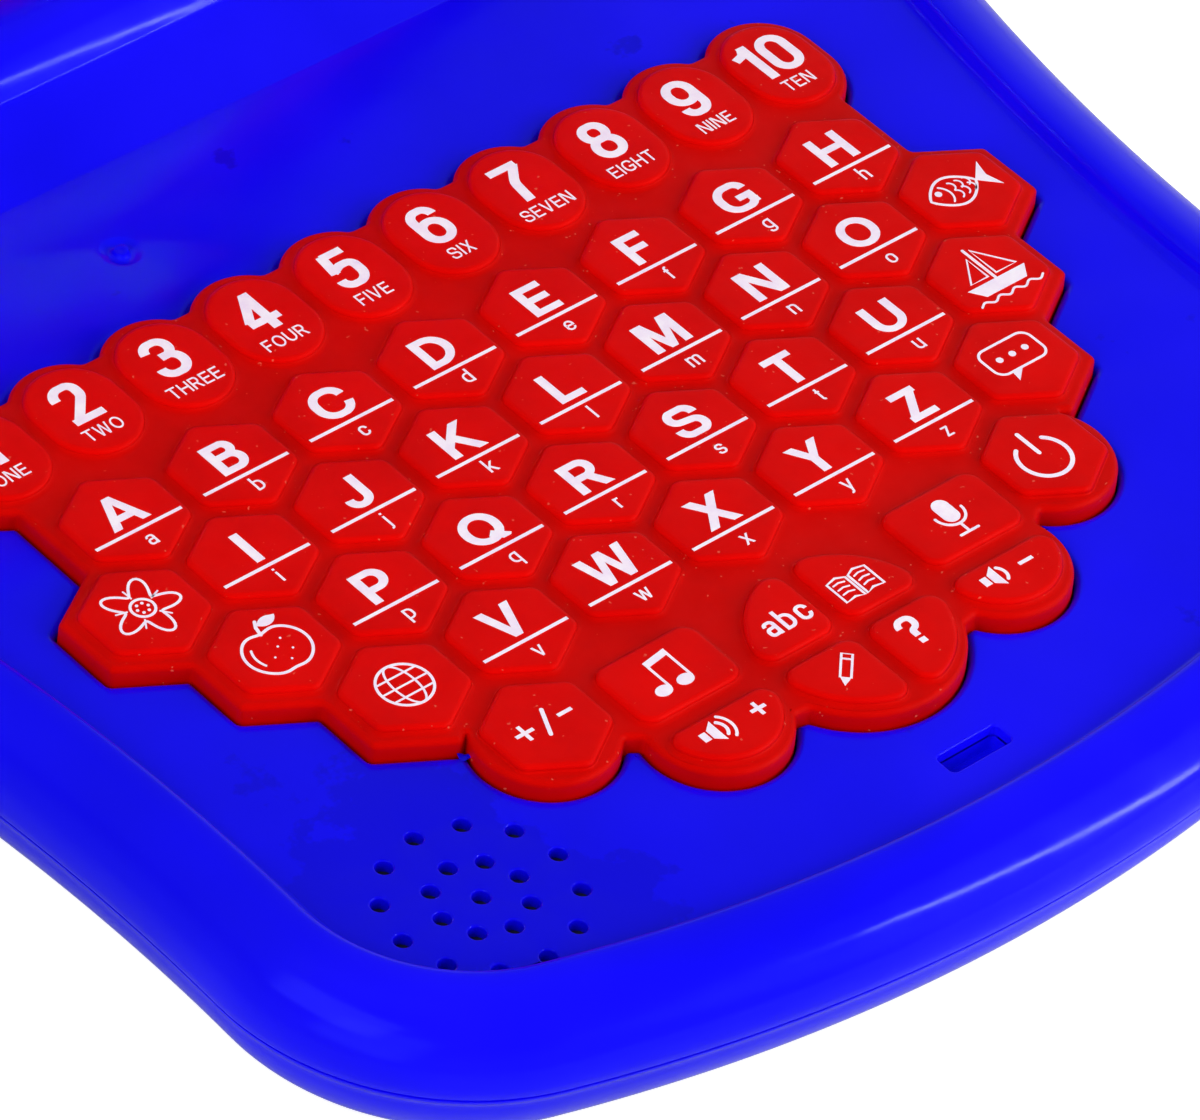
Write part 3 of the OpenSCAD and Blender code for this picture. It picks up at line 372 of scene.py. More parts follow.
def curve_through(points, n):
    """A smooth line through the points: Catmull-Rom, n steps in each span."""
    p = np.asarray(points, float)
    p = np.vstack([2 * p[0] - p[1], p, 2 * p[-1] - p[-2]])
    t = np.linspace(0, 1, n, endpoint=False)[:, None]
    out = [0.5 * (2 * b + (c - a) * t + (2 * a - 5 * b + 4 * c - d) * t ** 2
                  + (3 * b - a - 3 * c + d) * t ** 3)
           for a, b, c, d in zip(p[:-3], p[1:-2], p[2:-1], p[3:])]
    return np.vstack(out + [p[-2:-1]])


def within(q, loops):
    """Whether each point lies inside the closed loops, by the even-odd rule."""
    a = np.vstack(loops)
    b = np.vstack([np.roll(l, -1, 0) for l in loops])
    inside = np.zeros(len(q), bool)
    for k in range(0, len(q), 2000):
        p = q[k:k + 2000, None]
        hit = (a[:, 1] > p[..., 1]) != (b[:, 1] > p[..., 1])
        with np.errstate(divide="ignore", invalid="ignore"):
            x = a[:, 0] + (p[..., 1] - a[:, 1]) * (b[:, 0] - a[:, 0]) / (b[:, 1] - a[:, 1])
        inside[k:k + 2000] = (hit & (p[..., 0] < x)).sum(1) % 2 == 1
    return inside


def triangulated(loops, tolerance):
    """Constrained triangulation of loops: points, triangles, and each point's source."""
    edges, at = [], 0
    for l in loops:
        k = np.arange(len(l))
        edges += np.stack([at + k, at + (k + 1) % len(l)], -1).tolist()
        at += len(l)
    out, _, tris, origin, _, _ = delaunay_2d_cdt([Vector(p) for p in np.vstack(loops)],
                                                 edges, [], 0, tolerance)
    return np.array([tuple(v) for v in out]), np.array([t[:3] for t in tris]), origin


def planar_fill(loops):
    """Triangles that fill the area between closed loops, by the even-odd rule."""
    _, tris, origin = triangulated(loops, 1e-5)
    tris = np.array([o[0] if o else -1 for o in origin])[tris]
    tris = tris[(tris >= 0).all(1)]
    return tris[within(np.vstack(loops)[tris].mean(1), loops)]


def union_fill(shapes):
    """Points and triangles of the area that any shape covers; a shape is a list of loops."""
    xy, tris, _ = triangulated([l for s in shapes for l in s], 1e-4)
    c = xy[tris].mean(1)
    return xy, tris[np.any([within(c, s) for s in shapes], axis=0)]


def area(l):
    """Signed area of a closed loop, positive when it runs counter-clockwise."""
    x, y = l[:, 0], l[:, 1]
    return 0.5 * np.sum(x * np.roll(y, -1) - np.roll(x, -1) * y)


def loop_normals(l):
    """Unit normals at a closed loop's points, to the right of the way it runs."""
    d = np.roll(l, -1, 0) - np.roll(l, 1, 0)
    d /= np.linalg.norm(d, axis=1)[:, None]
    return np.stack([d[:, 1], -d[:, 0]], -1)


def evened(l, step, blur=0.0):
    """The closed loop with points step apart, its corners softened over blur."""
    q = np.vstack([l, l[:1]])
    s = np.concatenate([[0], np.cumsum(np.linalg.norm(np.diff(q, axis=0), axis=1))])
    n = int(s[-1] / step)
    t = np.arange(n) * s[-1] / n
    r = np.stack([np.interp(t, s, q[:, k]) for k in (0, 1)], -1)
    if blur:
        f = np.fft.fftfreq(n, s[-1] / n)
        g = np.exp(-2 * (math.pi * f * blur) ** 2)[:, None]
        r = np.real(np.fft.ifft(np.fft.fft(r, axis=0) * g, axis=0))
    return r


class Sheet:
    """A thick sheet worked out from its edges: each closed edge is a ribbon of rings from
    the top face to the bottom face, and both faces are filled between the ribbons."""

    def __init__(self):
        self.pts, self.faces, self.tops, self.lows, self.at = [], [], [], [], 0

    def ribbon(self, rings, blind=False):
        """Adds an edge's rings; a blind one ends in a floor of its own."""
        n = len(rings[0])
        last = self.at + (len(rings) - 1) * n
        self.pts += rings
        self.faces += grid_faces(len(rings), n, False, True, self.at)
        self.tops.append((rings[0][:, :2], self.at))
        if blind:
            self.faces.append(list(range(last, last + n)))
        else:
            self.lows.append((rings[-1][:, :2], last))
        self.at = last + n

    def filled(self):
        """Points and faces, once all edges are in."""
        for group in (self.tops, self.lows):
            index = np.concatenate([first + np.arange(len(l)) for l, first in group])
            self.faces += index[planar_fill([l for l, _ in group])].tolist()
        return np.vstack(self.pts), self.faces


def edge_rings(loop, outside, section, top, bottom):
    """Rings down one edge of a plate. The section's points are (step back into the
    plate's face, depth below the top): ring = loop - step * normal at top - depth."""
    l = loop if (area(loop) > 0) == outside else loop[::-1]
    n = loop_normals(l)          # points away from the plate's material
    rings = [np.column_stack([l - step * n, np.full(len(l), top - depth)]) for step, depth in section]
    return rings + [np.column_stack([l - section[-1][0] * n, np.full(len(l), bottom)])]


SQUARE = ((0, 0),)               # an edge section with no rounding


def plate(outer, holes, top, bottom, outer_section=SQUARE, hole_section=SQUARE):
    """A plate between two heights, its edges shaped by sections as edge_rings takes them."""
    sheet = Sheet()
    sheet.ribbon(edge_rings(outer, True, outer_section, top, bottom))
    for hole in holes:
        sheet.ribbon(edge_rings(hole, False, hole_section, top, bottom))
    return sheet.filled()


def span(side, x0, x1):
    """The range x0 to x1 on the right (side 1) or mirrored to the left (-1), rising."""
    return sorted((side * x0, side * x1))


def along_x(p2, x0, x1, r=0.4):
    """Closed (y, z) loop drawn out from x0 to x1, its end edges rounded by about r."""
    n = loop_normals(p2 if area(p2) > 0 else p2[::-1])
    n = n if area(p2) > 0 else n[::-1]
    cuts = [(x0, r), (x0 + 0.3 * r, 0.3 * r), (x0 + r, 0),
            (x1 - r, 0), (x1 - 0.3 * r, 0.3 * r), (x1, r)]
    rows = [np.column_stack([np.full(len(p2), x), p2 - e * n]) for x, e in cuts]
    faces = grid_faces(len(rows), len(p2), False, True)
    tri = planar_fill([rows[0][:, 1:]])
    return np.vstack(rows), faces + tri.tolist() + (tri + (len(cuts) - 1) * len(p2)).tolist()


def flat_loops(name, z):
    """The edge loops of a CAD node's upward flat face at height z, in key-plan millimetres,
    largest first: triangle edges that no neighbour runs back along, joined end to end."""
    me = nodes[name].data
    co = np.empty(len(me.vertices) * 3)
    me.vertices.foreach_get("co", co)
    co = co.reshape(-1, 3) / MM
    co[:, 1] -= SHIFT_Y
    tri = np.empty(len(me.loops), int)
    me.loops.foreach_get("vertex_index", tri)
    tri = tri.reshape(-1, 3)
    flat = (np.abs(co[tri][..., 2] - z) < 0.02).all(1)
    up = np.cross(co[tri[:, 1]] - co[tri[:, 0]], co[tri[:, 2]] - co[tri[:, 0]])[:, 2]
    tri = tri[flat & (up > 1e-9)]
    key = {}
    ident = np.array([key.setdefault((round(x, 3), round(y, 3)), len(key)) for x, y in co[:, :2]])
    xy = np.array(list(key.keys()))
    t = ident[tri]
    edges = {tuple(e) for e in np.concatenate([t[:, [0, 1]], t[:, [1, 2]], t[:, [2, 0]]]).tolist()}
    onward = {}
    for a, b in edges:
        if (b, a) not in edges:
            onward.setdefault(a, []).append(b)
    loops = []
    while onward:
        a = next(iter(onward))
        loop = [a]
        while a in onward:
            b = onward[a].pop()
            if not onward[a]:
                del onward[a]
            a = b
            if a == loop[0]:
                break
            loop.append(a)
        if len(loop) > 2:
            loops.append(xy[loop])
    return sorted(loops, key=lambda l: -abs(area(l)))


# --------------------------------------------------------------- upper case

DOME_IN, DOME_UP = 12.0, 10.0        # half axes of the rim's dome
RIM_IN = 15.0                        # inset where the rim's inner fillet meets the deck


def rim_section():
    """Upright edge above the seam, a dome (a (1 - cos t), crest - b (1 - sin t)), then a
    steep inner wall that runs out in a fillet on the deck."""
    t = np.radians(np.linspace(0, 90, 25))
    dome = np.stack([DOME_IN * (1 - np.cos(t)), CREST - DOME_UP * (1 - np.sin(t))], -1)
    inner = curve_through([(DOME_IN, CREST), (12.7, 24.95), (13.2, 24.3), (13.45, 23.5),
                           (13.8, 22.75), (14.5, 22.36), (RIM_IN, DECK)], 4)[1:]
    t = np.radians(np.linspace(90, 0, 12))
    under = np.stack([11 - 9 * np.cos(t), SEAM + 9 * np.sin(t)], -1)
    return np.vstack([[(0.15, SEAM + 0.15)], dome, inner, [(RIM_IN, DECK_LOW), (11.4, DECK_LOW)],
                      under, [(0.5, SEAM)]])


rim_path, rim_normals = outline(BASE_REAR_Y, REAR_R, RIM_STOP)
pts, faces = carried(rim_path, rim_normals, rim_section(), False)
piece("base_rim", pts, faces, blue_abs, "base", ("upper_case",), crease=50)

# the flat deck, out to where the rim's fillet ends
FOOT = np.array([71.6, DECK])        # (y, z) where the hump's ramp leaves the deck
SLOPE, FILLET = math.radians(18.3), 1.5
FOOT_START = FOOT[0] - FILLET * math.tan(SLOPE / 2)
POCKET_Y, END_Y = 86, BASE_REAR_Y - 0.4
deck_edge = np.vstack([
    rim_path - RIM_IN * rim_normals,
    [(-RIM_STOP, END_Y), (-NOTCH_X, END_Y), (-NOTCH_X, POCKET_Y), (-HUMP_X, POCKET_Y),
     (-HUMP_X, FOOT_START), (HUMP_X, FOOT_START), (HUMP_X, POCKET_Y), (NOTCH_X, POCKET_Y),
     (NOTCH_X, END_Y), (RIM_STOP, END_Y)]])
mat_opening = evened(min(flat_loops("upper_case", DECK), key=area), 0.45, 0.35)
# speaker holes: one in the middle, then rings of (radius, count)
grille = [circle(SPEAKER, HOLE_R, 24)]
for ring_r, count in ((6.5, 8), (13.2, 12)):
    grille += [circle(c, HOLE_R, 24) for c in circle(SPEAKER, ring_r, count)]
SLOT_W, SLOT_H, SLOT_TURN = 10.9, 3.7, 0.9
latch_slot = round_rect(LATCH, SLOT_W, SLOT_H, SLOT_TURN)

# the moulding gate from outside in, (radius, height): a shallow crater with a snapped nub
GATE_PROFILE = ((3.3, 0), (2.9, -0.06), (2.4, -0.34), (1.9, -0.5), (1.45, -0.46), (1.2, -0.2),
                (1.05, 0.25), (0.75, 0.42), (0.35, 0.36))
CRATER_R, NUB_R = 2.5, 1.3


def gate_rings():
    """The gate's profile turned round its middle: the crater's radius ripples by
    0.05 sin(3 a + 0.7), and the nub leans by 0.12 of the way to the right."""
    ring = circle((0, 0), 1.0, 36)
    ripple = 0.05 * np.sin(3 * np.radians(np.arange(0, 360, 10)) + 0.7)[:, None]
    return [np.column_stack([GATE + ring * r * (1 + (r < CRATER_R) * ripple),
                             DECK + z + (r < NUB_R) * 0.12 * ring[:, 0]]) for r, z in GATE_PROFILE]


def deck():
    """The deck plate with a rolled lip round the keypad and softened small holes."""
    sheet = Sheet()
    sheet.ribbon(edge_rings(deck_edge, True, SQUARE, DECK, DECK_LOW))
    for hole, r in [(mat_opening, 1.3)] + [(h, 0.35) for h in grille + [latch_slot]]:
        sheet.ribbon(edge_rings(hole, False, rounded_lip(r, 9), DECK, DECK_LOW))
    sheet.ribbon(gate_rings(), blind=True)
    return sheet.filled()


pts, faces = deck()
piece("base_deck", pts, faces, blue_abs_deck, "base", ("upper_case",), crease=40)

# the latch slot's pocket: a wall under the slot and its floor, clear of the closed tongue
SLOT_FLOOR = 17.9
pts, faces = carried(latch_slot, loop_normals(latch_slot),
                     [(0, DECK_LOW + 0.3), (0, SLOT_FLOOR), (-1, SLOT_FLOOR), (-1, DECK_LOW + 0.3)], True)
piece("latch_pocket_wall", pts, faces, blue_abs, "base", ("upper_case",))
slot_floor = round_rect(LATCH, SLOT_W + 1.9, SLOT_H + 1.9, 2 * SLOT_TURN)
pts, faces = plate(slot_floor, [], SLOT_FLOOR, SLOT_FLOOR - 1)
piece("latch_pocket_floor", pts, faces, blue_abs, "base", ("upper_case",))


def hump_section():
    """Side view of the hinge hump: a fillet on the deck, a ramp, and a cove that touches
    both the ramp and the barrel round the pin, then the rear and the underside."""
    foot = arc((FOOT_START, DECK + FILLET), FILLET, -90, -90 + math.degrees(SLOPE), 5)
    cove = 1.2
    reach = BARREL_R + cove
    up = np.array([-math.sin(SLOPE), math.cos(SLOPE)])
    tilt = SLOPE + math.acos((cove - (PIN - FOOT) @ up) / reach)
    centre = PIN + reach * np.array([-math.sin(tilt), math.cos(tilt)])
    joint = arc(centre, cove, -90 + math.degrees(SLOPE), math.degrees(tilt) - 90, 8)
    rear = math.degrees(math.asin((PART - PIN[1]) / BARREL_R))
    barrel = arc(PIN, BARREL_R, 90 + math.degrees(tilt), rear, 60)[1:]
    return np.vstack([foot, joint, barrel, [
        (BASE_REAR_Y, PART - 0.2), (BASE_REAR_Y, SEAM), (BASE_REAR_Y - 2, SEAM), (PIN[0] + 6, PART),
        (PIN[0] + 6, PIN[1] + 2), (88, 25.5), (FOOT[0] + 4, DECK_LOW), (FOOT_START, DECK_LOW)]])


pts, faces = along_x(hump_section()[::-1], -HUMP_X, HUMP_X)
piece("hinge_hump", pts, faces, blue_abs, "base", ("upper_case",), crease=40)

# cheek from the side: a round head on a block that stands on the deck
cheek = np.vstack([arc(PIN, CHEEK_R, 0, 180, 40),
                   [(PIN[0] - CHEEK_R, DECK_LOW), (PIN[0] + CHEEK_R, DECK_LOW)]])
rear_block = np.array([(BASE_REAR_Y - 2, DECK), (BASE_REAR_Y - 0.4, DECK), (BASE_REAR_Y, DECK - 0.4),
                       (BASE_REAR_Y, SEAM), (BASE_REAR_Y - 2, SEAM)])
# the cap that closes the rim's end lies 0.3 inside the dome and its inner wall
rim_cap = [(BASE_REAR_Y - i - 0.3, z - 0.3) for i, z in rim_section()[:33] if i > 0.5]
rim_cap = np.array(rim_cap + [(BASE_REAR_Y - 14.6, PART), (BASE_REAR_Y - 0.8, PART)])[::-1]
for side, word in ((1, "right"), (-1, "left")):
    pts, faces = along_x(cheek, *span(side, NOTCH_X, NOTCH_X + 3.5))
    piece(f"hinge_cheek_{word}", pts, faces, blue_abs, "base", ("upper_case",))
    pts, faces = along_x(rear_block, *span(side, NOTCH_X - 0.1, RIM_STOP + 2))
    piece(f"rear_edge_{word}", pts, faces, blue_abs, "base", ("upper_case",))
    pts, faces = along_x(rim_cap, *span(side, RIM_STOP + 0.3, RIM_STOP + 2), 0.1)
    piece(f"rim_end_{word}", pts, faces, blue_abs, "base", ("upper_case",))


# --------------------------------------------------------------- lower case

def tray_section():
    """A flanged lip under the seam, then a quarter ellipse down to the floor, 2 thick."""
    t = np.radians(np.linspace(0, 90, 24))
    outer = np.stack([12.5 - 11.3 * np.cos(t), TRAY + 11.4 * (1 - np.sin(t))], -1)
    inner = np.stack([12.5 - 9.3 * np.cos(t[::-1]), TRAY + 2 + 9.4 * (1 - np.sin(t[::-1]))], -1)
    lip = [(2.6, SEAM), (2.6, SEAM - 0.5), (0.65, SEAM - 0.5), (0.5, SEAM - 0.6), (0.5, SEAM - 0.95),
           (0.62, SEAM - 1.2), (0.95, SEAM - 1.45)]
    return np.vstack([lip, outer[outer[:, 1] < SEAM - 1.7],
                      [(14, TRAY), (14, TRAY + 2)], inner[inner[:, 1] < SEAM - 0.2], [(3.4, SEAM)]])


tray_path, tray_normals = outline(BASE_REAR_Y, REAR_R, NOTCH_X)
pts, faces = carried(tray_path, tray_normals, tray_section(), False)
piece("tray_wall", pts, faces, blue_abs, "base", ("lower_case",), crease=50)
POCKET_Z = PIN[1] - 9.3              # floor of the lid arms' pockets
whole = tray_section()
low = whole.copy()
low[:, 1] = np.minimum(low[:, 1], POCKET_Z)
for name, a, b, section in (("tray_rear", HUMP_X, -HUMP_X, whole),
                            ("tray_notch_right", NOTCH_X, HUMP_X, low),
                            ("tray_notch_left", -HUMP_X, -NOTCH_X, low)):
    path = np.array([(a, BASE_REAR_Y), (b, BASE_REAR_Y)])
    pts, faces = carried(path, np.array([(0.0, 1.0)] * 2), section, False)
    piece(name, pts, faces, blue_abs, "base", ("lower_case",), crease=50)


def copy_of(name, new_name, keep, material, body):
    """A merged copy of part of a CAD node; keep takes the faces' centres in key-plan mm."""
    o = bpy.data.objects.new(new_name, nodes[name].data.copy())
    bpy.context.scene.collection.objects.link(o)
    b = bmesh.new()
    b.from_mesh(o.data)
    bmesh.ops.remove_doubles(b, verts=b.verts, dist=2e-6)
    centres = np.array([f.calc_center_median() for f in b.faces]) / MM
    centres[:, 1] -= SHIFT_Y
    kept = keep(centres)
    bmesh.ops.delete(b, geom=[f for f, k in zip(b.faces, kept) if not k], context="FACES")
    b.to_mesh(o.data)
    b.free()
    o.data.shade_smooth()
    o.data.set_sharp_from_angle(angle=math.radians(30))
    o.data.materials.clear()
    o.data.materials.append(material)
    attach(o, body)
    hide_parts(name)
    return o


def inset_of(xy, path, normals):
    """How far inside the outline each point lies: -(p - q) . n at the nearest point q."""
    out = np.empty(len(xy))
    for k in range(0, len(xy), 1000):
        d = xy[k:k + 1000, None] - path
        i = (d ** 2).sum(-1).argmin(1)
        out[k:k + 1000] = -(d[np.arange(len(i)), i] * normals[i]).sum(-1)
    return out


def floor_faces(c):
    """The tray's floor and bosses, and the pockets under the lid's arms."""
    x, y, z = np.abs(c[:, 0]), c[:, 1], c[:, 2]
    pocket = (x > 62) & (x < 74) & (y > 84) & (y < 103) & (z > 11)
    return (inset_of(c[:, :2], tray_path, tray_normals) > 13.9) | pocket


def inside_faces(c):
    """The upper case's inside under the deck, and the bores that carry the hinge pins."""
    x, y, z = np.abs(c[:, 0]), c[:, 1], c[:, 2]
    under = (inset_of(c[:, :2], tray_path, tray_normals) > 17) & (z < DECK_LOW - 0.05)
    bore = (y > 74) & (y < 104) & ((y - PIN[0]) ** 2 + (z - PIN[1]) ** 2 < 22)
    return under | ((x > 50) & (x < 63.9) & bore)


copy_of("lower_case", "tray_floor", floor_faces, blue_abs, "base")
copy_of("upper_case", "case_inside", inside_faces, blue_abs, "base")


# ------------------------------------------------------------------ the keys

def hex_points(inset):
    """The cell of the key lattice, drawn in by inset."""
    norm = math.hypot(PITCH / 2, ROW)
    hx, k = PITCH / 2 - inset, norm ** 2 / 2 - inset * norm
    y0, y1 = k / ROW, (k - PITCH / 2 * hx) / ROW
    return np.array([(hx, -y1), (hx, y1), (0, y0), (-hx, y1), (-hx, -y1), (0, -y0)])


def stadium_points():
    """A number key: two half circles of radius 6.95 whose centres are 4 apart."""
    return np.vstack([arc((0, 2), 6.95, 0, 180, 30), arc((0, -2), 6.95, 180, 360, 30)])


def quarter_core(turn, r):
    """A quarter of the mode disc with grooves beside it, drawn in by r on every side."""
    a = math.degrees(math.asin((GROOVE + r) / (DISC_R - r)))
    p = np.vstack([[(GROOVE + r, GROOVE + r)], arc((0, 0), DISC_R - r, a, 90 - a, 24)])
    c, s = round(math.cos(turn)), round(math.sin(turn))
    return p @ np.array([[c, s], [-s, c]])


def half_round_core(r):
    """A half disc below its chord, drawn in by r on every side."""
    a = math.degrees(math.asin(r / (VOLUME_R - r)))
    return arc((0, 0), VOLUME_R - r, 180 + a, 360 - a, 36)


def edge_normals(p):
    """Outward normals of a counter-clockwise outline's edges: into and out of each point."""
    d = np.roll(p, -1, 0) - p
    d /= np.linalg.norm(d, axis=1)[:, None]
    n = np.stack([d[:, 1], -d[:, 0]], -1)
    return np.roll(n, 1, 0), n


def core_of(points, r):
    """A convex outline drawn in by r on every side."""
    p = np.asarray(points, float)
    p = p if area(p) > 0 else p[::-1]
    n0, n = edge_normals(p)
    return p - r * (n0 + n) / (1 + (n0 * n).sum(1))[:, None]


def fanned(core):
    """Centres and directions round a convex core: every outline that lies r outside the
    core, with its corners rounded on r, is centre + r (cos, sin)."""
    core = core if area(core) > 0 else core[::-1]
    centres, fans = [], []
    for c, a, b in zip(core, *edge_normals(core)):
        t0 = math.atan2(a[1], a[0])
        dt = (math.atan2(b[1], b[0]) - t0) % (2 * math.pi)
        k = max(1, int(round(math.degrees(dt) / 9)))
        for t in (t0 + dt * np.arange(k + 1) / k if k > 1 else [t0 + dt / 2]):
            centres.append(c)
            fans.append((math.cos(t), math.sin(t)))
    return np.array(centres), np.array(fans)


def key_plan():
    """Every key as node name, list of (centre, core, corner radius)."""
    hexagon = core_of(hex_points(GROOVE), HEX_TURN)
    stadium = core_of(stadium_points(), HEX_TURN)
    plan = {}
    for r, word in enumerate(LETTER_ROWS):
        for i, letter in enumerate(word):
            c = ((i - (len(word) - 1) / 2) * PITCH, ROW0_Y - r * ROW)
            plan["key_" + letter] = [(c, hexagon, HEX_TURN)]
    for n in range(10):
        plan[f"key_{n + 1}"] = [(((n - 4.5) * NUMBER_PITCH, NUMBER_Y), stadium, HEX_TURN)]
    for side, word in ((-1, "left"), (1, "right")):
        plan[word + "_side_keys"] = [((side * k * PITCH, ROW0_Y - r * ROW), hexagon, HEX_TURN)
                                     for k, r in ((4, 1), (3.5, 2), (3, 3))]
    song = np.array([(6.2, 3.5), (-6.2, 3.5), (-6.2, -3.5), (6.2, -3.5)])
    plan["mode_keys"] = [(DISC_C, quarter_core(t, QUARTER_TURN), QUARTER_TURN)
                         for t in np.radians([0, 90, 180, 270])]
    plan["mode_keys"] += [((s * SONG_KEY[0], SONG_KEY[1]), song, SONG_TURN) for s in (-1, 1)]
    plan["volume_keys"] = [((s * VOLUME_C[0], VOLUME_C[1]), half_round_core(HALF_TURN), HALF_TURN)
                           for s in (-1, 1)]
    plan["key_plus_minus"] = [((-CORNER_KEY[0], CORNER_KEY[1]), hexagon, HEX_TURN)]
    plan["key_power"] = [(CORNER_KEY, hexagon, HEX_TURN)]
    return plan


BRIM_IN, BRIM_UP = 0.8, 0.62        # half axes of a key's rounded brim


def key_mesh(shapes):
    """Soft-edged islands: walls, a quarter-round brim, a barely crowned top."""
    pts, faces, at = [], [], 0
    t = np.radians(np.linspace(0, 90, 7))
    brim = np.stack([BRIM_IN * (1 - np.cos(t)), KEY - BRIM_UP * (1 - np.sin(t))], -1)
    for c, core, r in shapes:
        centres, fans = fanned(core)
        n = len(fans)
        rings = [np.column_stack([centres + (r - e) * fans, np.full(n, z)])
                 for e, z in [(0.0, KEY_LOW)] + brim.tolist()]
        last = rings[-1]
        mid = last.mean(0)
        for k, rise in ((0.9, 0.012), (0.6, 0.025), (0.3, 0.03)):
            ring = mid + (last - mid) * k
            ring[:, 2] += rise
            rings.append(ring)
        pts += [g + [c[0], c[1], 0] for g in rings + [mid[None] + [0, 0, 0.03]]]
        faces += grid_faces(len(rings), n, False, True, at)
        faces += [list(range(at, at + n))]
        k, pole = at + (len(rings) - 1) * n + np.arange(n), at + len(rings) * n
        faces += [[i, j, pole] for i, j in zip(k, np.roll(k, -1))]
        at = pole + 1
    return np.vstack(pts), faces


keys = key_plan()
for name, shapes in keys.items():
    pts, faces = key_mesh(shapes)
    piece("cap_" + name, pts, faces, key_silicone, "press_" + name, (name,), crease=60)


WEB_BRIM = 0.95                     # radius of the web's outer brim
# the soft cove by which the web climbs to each island: (distance from the key, height)
COVE = [(0.95, WEB), (0.68, WEB + 0.02), (0.45, WEB + 0.08), (0.26, WEB + 0.17),
        (0.12, WEB + 0.27), (0.03, WEB + 0.38), (0.03, WEB_LOW)]


def web():
    """The soft web between the keys: one moulded sheet with a round brim outside."""
    outer = evened(flat_loops("keypad_mat", WEB)[0], 0.45, 0.35)
    outer = outer if area(outer) > 0 else outer[::-1]
    n = loop_normals(outer)
    side = [(e, WEB - down) for e, down in WEB_BRIM * rounded_lip(1.0, 7)]
    side += [(-0.02, 23.0), (-0.1, WEB_LOW)]
    sheet = Sheet()
    sheet.ribbon([np.column_stack([outer - e * n, np.full(len(outer), z)]) for e, z in side])
    for name, shapes in keys.items():
        slim = 0.35 if name in ("key_plus_minus", "key_power") else 1.0     # near the outer brim
        for c, core, r in shapes:
            centres, fans = fanned(core)
            sheet.ribbon([np.column_stack([centres + (r + max(0.03, e * slim)) * fans + c,
                                           np.full(len(fans), z)]) for e, z in COVE])
    return sheet.filled()


pts, faces = web()
piece("keypad_web", pts, faces, web_silicone, "base", ("keypad_mat",), crease=60)


# ------------------------------------------------------------- the printing

